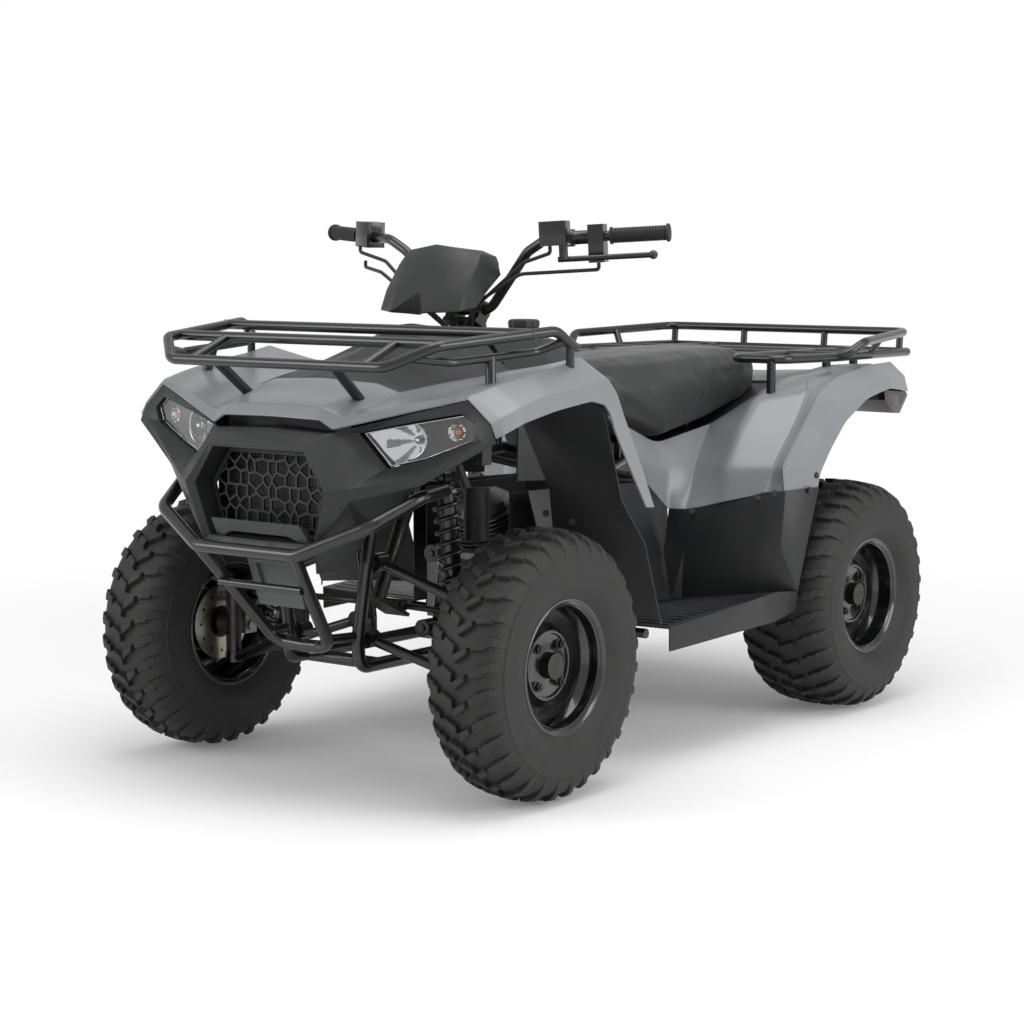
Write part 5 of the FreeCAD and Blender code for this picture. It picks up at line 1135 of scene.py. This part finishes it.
rim_points = [on_body(FRONT_AXLE_Y, cell) / MM + Vector((0, LENS_SUNK, 0)) for cell in LENS]
lens_front = min(p.y for p in rim_points)
glass_way, wall_way = Vector((0, GLASS, 0)), Vector((0, BOWL_WALL, 0))
for word, side in SIDES:
    cover, bowl = Draft(), Draft()
    for patch in LENS_PATCHES:
        corners = [rim_points[i] for i in patch]
        face = (0, 1, 2, 3) if patch[2] != patch[3] else (0, 1, 2)
        for depth in (0, GLASS):
            cover.add([p + Vector((0, depth, 0)) for p in corners], [face])
        points = []
        for i in range(RELIEF_STEPS + 1):
            for j in range(RELIEF_STEPS + 1):
                p = bent(corners, i / RELIEF_STEPS, j / RELIEF_STEPS)
                points.append(p + Vector((0, bowl_depth(p.x, p.z)[0], 0)))
        for i in range(RELIEF_STEPS):
            for j in range(RELIEF_STEPS):
                a = i * (RELIEF_STEPS + 1) + j
                b = a + RELIEF_STEPS + 1
                centre = (points[a] + points[b + 1]) / 2
                facet_finish = bowl_depth(centre.x, centre.z)[1]
                bowl.add([points[k] for k in (a, a + 1, b + 1, b)], [(0, 1, 2, 3)], facet_finish)
    count = len(rim_points)
    for i in range(count):
        a, b = rim_points[i], rim_points[(i + 1) % count]
        cover.add([a, b, b + glass_way, a + glass_way], [(0, 1, 2, 3)])
        wall = [a + glass_way * 1.4, b + glass_way * 1.4, b + wall_way, a + wall_way]
        bowl.add(wall, [(0, 1, 2, 3)], SHELF)
        bowl.rod(a + glass_way * 2.2, b + glass_way * 2.2, EDGE_WIRE, MIRROR, 8)
    for (x, z), radius, start, end in BOWL_RINGS:
        turns = [math.radians(start + (end - start) * i / RING_STEPS) for i in range(RING_STEPS + 1)]
        ring = [(x + radius * math.cos(t), z + radius * math.sin(t)) for t in turns]
        bowl.sweep([Vector((px, behind_cover(px, RING_DEPTH), pz)) for px, pz in ring], RING_WIRE, MIRROR)
    for (x, z), radius, bulb_finish, depth in BULBS:
        ball = [(-radius * math.cos(t), max(0.3, radius * math.sin(t))) for t in BALL_ANGLES]
        bowl.lathe((x, behind_cover(x, depth), z), (0, 1, 0), ball, bulb_finish, 24)
    in_order = [chrome, guard_pp, amber, dark_reflection_film]       # mirror, shelf, bulb, shaded
    piece("lens_" + word, cover, [clear], "chassis", "headlight_" + word, side)
    made = piece("bowl_" + word, bowl, in_order, "chassis", "headlight_" + word, side)
print("faces in a bowl:", len(made.data.polygons))

# %% [markdown]
# Under the hood the lamp housings and wiring fill the space. Five dark boxes stand for them, one in the
# middle and two behind each lamp, so that no daylight shows through the gap between hood and fascia.
# Their true form can't be seen from outside, so nothing finer would be worth its faces.

# %% Lamp housings
MIDDLE_BOX = (-168, -930, 640), (168, -845, 778)
SIDE_BOXES = ((175, 330, -854, 800), (330, 420, -827, 812))        # across from and to, front, top
SIDE_BOX_LOW, SIDE_BOX_DEPTH = 690, 30
housings = Draft()
housings.box(*MIDDLE_BOX)
for x_low, x_high, y_front, z_high in SIDE_BOXES:
    housings.box_pair((x_low, y_front, SIDE_BOX_LOW), (x_high, y_front + SIDE_BOX_DEPTH, z_high))
made = piece("lamp_housings", housings, [guard_pp], "chassis")
print("faces in the housings:", len(made.data.polygons))

# %% [markdown]
# ## Plates at the front and behind the feet
# A dark grey bar stands on the sill of the mouth, and a plate with a sunk window closes the bumper.
# Behind each foot wall a black strip joins it to the guard, and another hangs at the foot of the inner
# guard. All are thin plates with corners at known places, so each is an outline pushed along a
# direction. A curve with an extrusion would do as well, but only where the outline lies in one plane.

# %% Thin plates
def slab(draft, outline, faces, way):
    """A plate: faces between the points of an outline, the same again behind them, and a rim."""
    count = len(outline)
    front = [Vector(p) for p in outline]
    back = [tuple(count + i for i in reversed(face)) for face in faces]
    rim = [(i, (i + 1) % count, (i + 1) % count + count, i + count) for i in range(count)]
    draft.add(front + [p + Vector(way) for p in front], list(faces) + back + rim)


mouth_bar = Draft()
SILL_BAR = [(-119, -1036, 568), (119, -1036, 568), (127, -1010, 530), (110, -1010, 527),
            (79, -1024, 542), (-79, -1024, 542), (-110, -1010, 527), (-127, -1010, 530)]
slab(mouth_bar, SILL_BAR, [(0, 1, 4, 5), (1, 2, 3, 4), (7, 0, 5, 6)], (0, 12, -2))
made = piece("mouth_bar", mouth_bar, [grey_pp], "chassis")
print("faces in the bar on the sill:", len(made.data.polygons))

# %% [markdown]
# The bumper's plate is four loops of corners: its back, its front edge, the edge of the window and the
# window's floor. Bands of faces join each loop to the next. A cube with an inset face would give the same
# plate, but its slant and taper would then have to be set by hand.

# %% Plate on the bumper
COVER_TOP, COVER_LOW = Vector((0, -985, 482)), Vector((0, -953, 384))
COVER_EDGE = ((-67, 0), (67, 0), (62, 1), (-62, 1))
WINDOW_EDGE = ((-46, .07), (46, .07), (41, .66), (-41, .66))
COVER_PLATE, WINDOW_SUNK = 14.0, 7.0
cover_down = COVER_LOW - COVER_TOP
cover_in = Vector((0, -cover_down.z, cover_down.y)).normalized()
edges_at = ((COVER_EDGE, COVER_PLATE), (COVER_EDGE, 0), (WINDOW_EDGE, 0), (WINDOW_EDGE, WINDOW_SUNK))
loops = []
for edge, depth in edges_at:
    loops += [COVER_TOP + cover_down * share + cover_in * depth + Vector((x, 0, 0)) for x, share in edge]
bands = [(first + i, first + (i + 1) % 4, first + 4 + (i + 1) % 4, first + 4 + i)
         for first in (0, 4, 8) for i in range(4)]
window_plate = Draft()
window_plate.add(loops, bands + [(3, 2, 1, 0), (12, 13, 14, 15)])
made = piece("bumper_plate", window_plate, [grey_pp], "chassis", "bumper_cover")
print("faces in the bumper's plate:", len(made.data.polygons))

# %% [markdown]
# The strip at the guard's foot takes its corners from the guard itself, which is read from the model. So
# the two meet, wherever the guard ends.

# %% Strips behind the feet
BEHIND_FOOT = [(217, 150, 288), (203, 137, 400), (174, 100, 600), (158, 240, 600), (186, 215, 400),
               (212, 205, 288)]
STRIP_WALL, FOOT_BAND = 3, 6
STRIP_RISE, STRIP_DROP = Vector((0, 0, 3)), Vector((0, 0, 9))
for word, side in SIDES:
    strip = Draft()
    slab(strip, BEHIND_FOOT, [(0, 1, 4, 5), (1, 2, 3, 4)], (-STRIP_WALL, 0, 0))
    guard = nodes["inner_guard_" + word]
    corners = [guard.matrix_world @ v.co / MM for v in guard.data.vertices]
    lowest = min(p.z for p in corners)
    edge = sorted((p for p in corners if p.z < lowest + FOOT_BAND), key=lambda p: abs(p.x))
    print("foot of the guard", word, [round(c) for c in edge[0]], [round(c) for c in edge[-1]])
    inner, outer = [Vector((abs(p.x), p.y, p.z)) for p in (edge[0], edge[-1])]
    foot_outline = [inner + STRIP_RISE, outer + STRIP_RISE, outer - STRIP_DROP, inner - STRIP_DROP]
    slab(strip, foot_outline, [(0, 1, 2, 3)], (0, STRIP_WALL, 0))
    piece("foot_strips_" + word, strip, [guard_pp], "chassis", side=side)

# %% [markdown]
# ## Springs
# Each damper is a black body and a bright rod inside a wire coil, which sits between two cups. A screw
# modifier could wind the coil, but it only turns about an axis of the object. A path of points follows
# the damper's own slant, and the same wire sweep draws it.

# %% Coil-over dampers
SHOCK_TOP, SHOCK_FOOT = Vector((218.0, FRONT_AXLE_Y, AXLE_Z + 365.0)), Vector((263.2, FRONT_AXLE_Y, 262.0))
COIL_RADIUS, WIRE, COIL_TURNS, COIL_STEPS = 26.0, 4.6, 12, 20
EYE_HALF, EYE_RADIUS, EYE_BOLT, BODY_RADIUS, ROD_RADIUS = 12, 14, 6.5, 19, 7
CUP_FROM_TOP, CUP_FROM_FOOT, CUP_WALL, CUP_RADIUS = 26, 30, 8, COIL_RADIUS + WIRE + 2


def coil_over(draft, top, foot, turns, eye_half):
    """A damper with its spring between two eyes. Finishes: black, bright rod."""
    along = (foot - top).normalized()
    length = (foot - top).length
    across = Vector((0, eye_half, 0)) if abs(along.y) < 0.5 else Vector((eye_half, 0, 0))
    for eye in (top, foot):
        draft.rod(eye - across, eye + across, EYE_RADIUS)
        draft.rod(eye - across * 1.25, eye + across * 1.25, EYE_BOLT, 1, 6)
    body = [(12, 10), (20, BODY_RADIUS), (length * 0.55, BODY_RADIUS), (length * 0.56, BODY_RADIUS - 2)]
    draft.lathe(top, along, body)
    draft.rod(top + along * (length * 0.5), foot - along * 12, ROD_RADIUS, 1)
    for start, way in ((top + along * CUP_FROM_TOP, along), (foot - along * CUP_FROM_FOOT, -along)):
        draft.lathe(start, way, [(0, 20), (0, CUP_RADIUS), (CUP_WALL - 1, CUP_RADIUS), (CUP_WALL + 1, 20)])
    first, last = CUP_FROM_TOP + CUP_WALL + WIRE, length - (CUP_FROM_FOOT + CUP_WALL) - WIRE
    side = along.orthogonal().normalized()
    other = along.cross(side)
    path = []
    for i in range(turns * COIL_STEPS + 1):
        angle, share = 2 * math.pi * i / COIL_STEPS, i / (turns * COIL_STEPS)
        out = (side * math.cos(angle) + other * math.sin(angle)) * COIL_RADIUS
        path.append(top + along * (first + (last - first) * share) + out)
    draft.sweep(path, WIRE)


for word, side in SIDES:
    draft = Draft()
    coil_over(draft, SHOCK_TOP, SHOCK_FOOT, COIL_TURNS, EYE_HALF)
    shock = "shock_front_" + word
    made = piece("damper_" + word, draft, [powder, zinc], "chassis", shock, side)
print("faces in a damper:", len(made.data.polygons))

# %% [markdown]
# ## Engine
# The engine is mostly hidden, so it is drawn only as far as it shows: a crankcase with two round covers,
# a finned cylinder leaning forward, and the head. All of it is turned or boxed, as the real castings'
# main forms are, and the sand cast finish does the rest.

# %% Engine
CASE_HALF, CASE_FRONT, CASE_LOW, CASE_HIGH = 80, -380, 288, 440
CRANK_Z, COVER_FROM = 365, 78
COVERS = ((-250, 82, 112), (-90, 62, 100))          # place, radius and reach from the machine's middle
CYLINDER_RADIUS, CYLINDER_LENGTH = 56, 120
FINS, FIRST_FIN, FIN_STEP, FIN_PROFILE = 10, 12, 10, [(0, 84), (2.2, 84)]
HEAD_FROM, HEAD_PROFILE = 112, [(0, 70), (18, 70), (22, 60), (30, 40)]
engine_draft = Draft()
engine_draft.box((-CASE_HALF, CASE_FRONT, CASE_LOW), (CASE_HALF, 0, CASE_HIGH))
for way in (-1, 1):
    for y, radius, reach in COVERS:
        depth = reach - COVER_FROM
        profile = [(0, radius), (depth, radius), (depth + 6, radius - 5), (depth + 8, radius - 20),
                   (depth + 12, radius - 22)]
        engine_draft.lathe((way * COVER_FROM, y, CRANK_Z), (way, 0, 0), profile)
lean = Vector((0, -0.34, 0.94)).normalized()
foot = Vector((0, -250, 430))
engine_draft.rod(foot, foot + lean * CYLINDER_LENGTH, CYLINDER_RADIUS)
for i in range(FINS):
    engine_draft.lathe(foot + lean * (FIRST_FIN + i * FIN_STEP), lean, FIN_PROFILE, turns=32)
engine_draft.lathe(foot + lean * HEAD_FROM, lean, HEAD_PROFILE, turns=8)
made = piece("engine_dressed", engine_draft, [cast], "chassis", "engine")
print("faces in the engine:", len(made.data.polygons))

# %% [markdown]
# Two flat side panels close the space between the footwells and the engine. Only a narrow strip of them
# shows between tank cover and footboard, so a box on each side does as well as a moulded sheet would.

# %% Side panels
PANEL_LOW, PANEL_HIGH = (117, -335, 296), (120, 45, 576)
panels = Draft()
panels.box_pair(PANEL_LOW, PANEL_HIGH)
made = piece("side_panels", panels, [guard_pp], "chassis")
print("faces in the side panels:", len(made.data.polygons))

# %% [markdown]
# Behind the grille stands the core of the oil cooler, which is what makes the honeycomb read as black
# holes. Its fins are thin and close. Stripes in a material would do from afar, but thin boxes also cast
# their own shadows.

# %% Cooler
COOLER_LOW, COOLER_HIGH = (-176, -958, 516), (176, -944, 722)
RIBBONS, RIBBON_STEP, RIBBON_DEPTH, RIBBON_WALL, FRAME_WIDTH = 33, 6, 4, 1.2, 6
cooler = Draft()
cooler.box((COOLER_LOW[0], COOLER_LOW[1] + RIBBON_DEPTH, COOLER_LOW[2]), COOLER_HIGH)
for i in range(RIBBONS):
    z = COOLER_LOW[2] + 4 + i * RIBBON_STEP
    cooler.box((COOLER_LOW[0] + FRAME_WIDTH, COOLER_LOW[1], z),
               (COOLER_HIGH[0] - FRAME_WIDTH, COOLER_LOW[1] + RIBBON_DEPTH, z + RIBBON_WALL))
made = piece("cooler", cooler, [guard_pp], "chassis")
print("faces in the cooler:", len(made.data.polygons))

# %% [markdown]
# ## Grips
# The grips have fine rings and a flange at each end, so a glove neither slips along nor off them. One
# profile turned about the bar gives them all, which an array of rings would only do in two steps.

# %% Grips
BAR_INNER, BAR_OUTER = (.44, .70, 1.476), (.93, .895, 1.506)
GRIP_LENGTH, GRIP_RADIUS, RINGS = 130.0, 15.2, 18
RING_SHAPE = ((0, 0), (0.15, 1.3), (0.65, 1.3), (0.8, 0))      # share of a ring's step, rise of the rubber
grip = Draft()
inner, outer = (on_body(FRONT_AXLE_Y, cell) / MM for cell in (BAR_INNER, BAR_OUTER))
along = (outer - inner).normalized()
start = outer + along * (10.0 - GRIP_LENGTH)
profile = [(0, 13), (0, 18.5), (4, 19), (6, GRIP_RADIUS)]
step = (GRIP_LENGTH - 16) / RINGS
for i in range(RINGS):
    for share, rise in RING_SHAPE:
        profile.append((8 + i * step + step * share, GRIP_RADIUS + rise))
profile += [(GRIP_LENGTH - 8, GRIP_RADIUS), (GRIP_LENGTH - 6, 19.5), (GRIP_LENGTH - 1, 19.5),
            (GRIP_LENGTH, 17.5)]
for way in (1, -1):
    grip.lathe((start.x * way, start.y, start.z), (along.x * way, along.y, along.z), profile, turns=32)
made = piece("grips_dressed", grip, [grip_rubber], "steering", "grips")
print("faces in the grips:", len(made.data.polygons))

# %% [markdown]
# ## Ribs on the footboards
# The footboards have ribs across, in two rows, so that a wet boot holds. Each rib is a bar with sloped
# sides. An array would set them at one length and one height, but the board widens and slopes, so the
# ends of each rib are found by shares of the board's own width and length.

# %% Ribs on the footboards
BOARD = [(.42, -1.714, -.20), (1.0, -1.698, -.194), (1.0, -.79, -.14), (.444, -.854, -.218)]
RIB_COUNT, RIB_HEIGHT, RIB_WIDTH = 15, 3.0, 7.0
RIB_ROWS, FIRST_RIB, RIB_SPAN = ((0.06, 0.46), (0.52, 0.93)), 0.05, 0.9
RIB_SLOPE, RIB_SUNK = 0.3, 0.3
board = [on_body(REAR_AXLE_Y, cell) / MM for cell in BOARD]
for word, side in SIDES:
    ribs = Draft()
    for i in range(RIB_COUNT):
        v = FIRST_RIB + RIB_SPAN * i / (RIB_COUNT - 1)
        for u_low, u_high in RIB_ROWS:
            ends = [bent([board[0], board[3], board[2], board[1]], u, v) for u in (u_low, u_high)]
            reach, up = Vector((0, RIB_WIDTH / 2, 0)), Vector((0, 0, RIB_HEIGHT))
            low = [ends[0] - reach, ends[1] - reach, ends[1] + reach, ends[0] + reach]
            top = [p + up + reach * (-RIB_SLOPE if k > 1 else RIB_SLOPE) for k, p in enumerate(low)]
            sides = [(k, (k + 1) % 4, 4 + (k + 1) % 4, 4 + k) for k in range(4)]
            ribs.add([p - up * RIB_SUNK for p in low] + top, [(0, 3, 2, 1), (4, 5, 6, 7)] + sides)
    piece("board_ribs_" + word, ribs, [guard_pp], "chassis", side=side)
print("ribs on a board:", 2 * RIB_COUNT)

# %% [markdown]
# ## Fuel cap
# The cap is a black knob with eight soft lobes, on a round collar. Eight cut grooves would leave sharp
# ridges. Here the radius itself swings with the angle, so the lobes run into each other softly.

# %% Fuel cap
CAP_AT, CAP_LOW, CAP_TOP = (0.0, -125.0), 916.0, 956.0
LOBES, CAP_RADIUS, LOBE_DEPTH = 8, 37.0, 4.5
COLLAR = [(0, 24), (14, 24), (14, 28), (18, 28), (18, 22)]
CAP_RINGS = ((22, 0.80), (19, 0.97), (6, 1.0), (2, 0.94), (0, 0.80))       # depth under the top, share
cap_draft = Draft()
cap_draft.lathe((*CAP_AT, CAP_LOW), (0, 0, 1), COLLAR)
rings = [(CAP_TOP - depth, share) for depth, share in CAP_RINGS]
steps = LOBES * 12
points, faces = [], []
for z, share in rings:
    for k in range(steps):
        angle = 2 * math.pi * k / steps
        radius = (CAP_RADIUS - LOBE_DEPTH * abs(math.sin(angle * LOBES / 2)) ** 3) * share
        points.append((CAP_AT[0] + radius * math.cos(angle), CAP_AT[1] + radius * math.sin(angle), z))
for i in range(len(rings) - 1):
    a, b = i * steps, (i + 1) * steps
    faces += [(a + k, a + (k + 1) % steps, b + (k + 1) % steps, b + k) for k in range(steps)]
last = (len(rings) - 1) * steps
cap_draft.add(points, faces + [tuple(range(steps)), tuple(range(last, last + steps))])
made = piece("fuel_cap_dressed", cap_draft, [black_pp], "chassis", "fuel_cap")
print("faces in the fuel cap:", len(made.data.polygons))

# %% [markdown]
# ## Bolts
# Every panel is held by the same hexagon screw on a washer. A few points say where they are and which
# way they face, and Geometry Nodes sets a screw on each, turned to its own angle by a fixed seed.
# Copies set by hand would all stand at the same angle, which no fitter leaves them in.

# %% Bolts
WASHER_THIN, WASHER_WIDE, HEAD_HIGH = 0.35, 1.5, 1.1       # shares of the screw head's radius
SCREW_RADIUS, SCREW_SEED = 5.0, 7


def bolts_on_points():
    """A node tree that sets a hexagon screw and its washer on every point, along the attribute way."""
    tree = new_tree("bolts on points", [("Radius", "Float"), ("Finish", "Material"), ("Seed", "Int")])
    given = put(tree, "NodeGroupInput")
    thin, wide, high = [
        put(tree, "ShaderNodeMath", {"operation": "MULTIPLY", 1: share}, {0: (given, "Radius")})
        for share in (WASHER_THIN, WASHER_WIDE, HEAD_HIGH)]
    washer = put(tree, "GeometryNodeMeshCylinder", {"Vertices": 20},
                 {"Radius": (wide, 0), "Depth": (thin, 0)})
    head = put(tree, "GeometryNodeMeshCylinder", {"Vertices": 6},
               {"Radius": (given, "Radius"), "Depth": (high, 0)})
    screw = put(tree, "GeometryNodeJoinGeometry")
    tree.links.new(washer.outputs["Mesh"], screw.inputs[0])
    tree.links.new(head.outputs["Mesh"], screw.inputs[0])
    way = put(tree, "GeometryNodeInputNamedAttribute", {"data_type": "FLOAT_VECTOR", "Name": "way"})
    upright = put(tree, "FunctionNodeAlignRotationToVector", {"axis": "Z"}, {"Vector": (way, 0)})
    spin = put(tree, "FunctionNodeRandomValue", {"data_type": "FLOAT", 3: 1.0}, {"Seed": (given, "Seed")})
    spun = put(tree, "ShaderNodeCombineXYZ", None, {"Z": (spin, 1)})
    turned = put(tree, "FunctionNodeRotateRotation", {"rotation_space": "LOCAL"},
                 {0: (upright, 0), 1: (spun, 0)})
    copies = put(tree, "GeometryNodeInstanceOnPoints", None,
                 {"Points": (given, "Geometry"), "Instance": (screw, 0), "Rotation": (turned, 0)})
    real = put(tree, "GeometryNodeRealizeInstances", None, {"Geometry": (copies, 0)})
    painted = put(tree, "GeometryNodeSetMaterial", None,
                  {"Geometry": (real, 0), "Material": (given, "Finish")})
    put(tree, "NodeGroupOutput", None, {0: (painted, 0)})
    return tree


bolt_tree = bolts_on_points()


def bolts(name, spots, radius, material, body):
    """Bolts at spots of place and direction in millimetres, on both sides of the machine."""
    mesh = bpy.data.meshes.new(name)
    both = [((side * x, y, z), (side * i, j, k)) for (x, y, z), (i, j, k) in spots for side in (1, -1)]
    mesh.from_pydata([tuple(v * MM for v in point) for point, way in both], [], [])
    attribute = mesh.attributes.new("way", "FLOAT_VECTOR", "POINT")
    attribute.data.foreach_set("vector", [v for point, way in both for v in way])
    made = bpy.data.objects.new(name, mesh)
    bpy.context.scene.collection.objects.link(made)
    modifier = made.modifiers.new("bolts", "NODES")
    modifier.node_group = bolt_tree
    set_inputs(modifier, {"Radius": radius * MM, "Finish": material, "Seed": SCREW_SEED})
    bake(made)
    cleaned(made)
    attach(made, body)
    return made


BODY_SCREWS = [
    ((430, -533, 553), (0.2, -0.95, 0.1)), ((330, -488, 560), (0.2, -0.95, 0.1)),
    ((262, 196, 502), (0.5, -0.8, 0.2)), ((316, 225, 515), (0.4, -0.85, 0.2)),
    ((412, 246, 540), (0.5, -0.8, 0.2)), ((448, 262, 550), (0.6, -0.75, 0.2)),
    ((497, 372, 588), (0.97, -0.2, 0.1)), ((497, 340, 556), (0.97, -0.2, 0.1)),
]
screws = bolts("body_screws", BODY_SCREWS, SCREW_RADIUS, forged, "chassis")
print("screw faces:", len(screws.data.polygons))

# %% [markdown]
# ## Measure and finish
# The dressed machine is meant to keep the size of the drawn one, and its box is printed.

# %% Finish
low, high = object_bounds()
print("dressed size in metres:", [round(v, 3) for v in high - low])
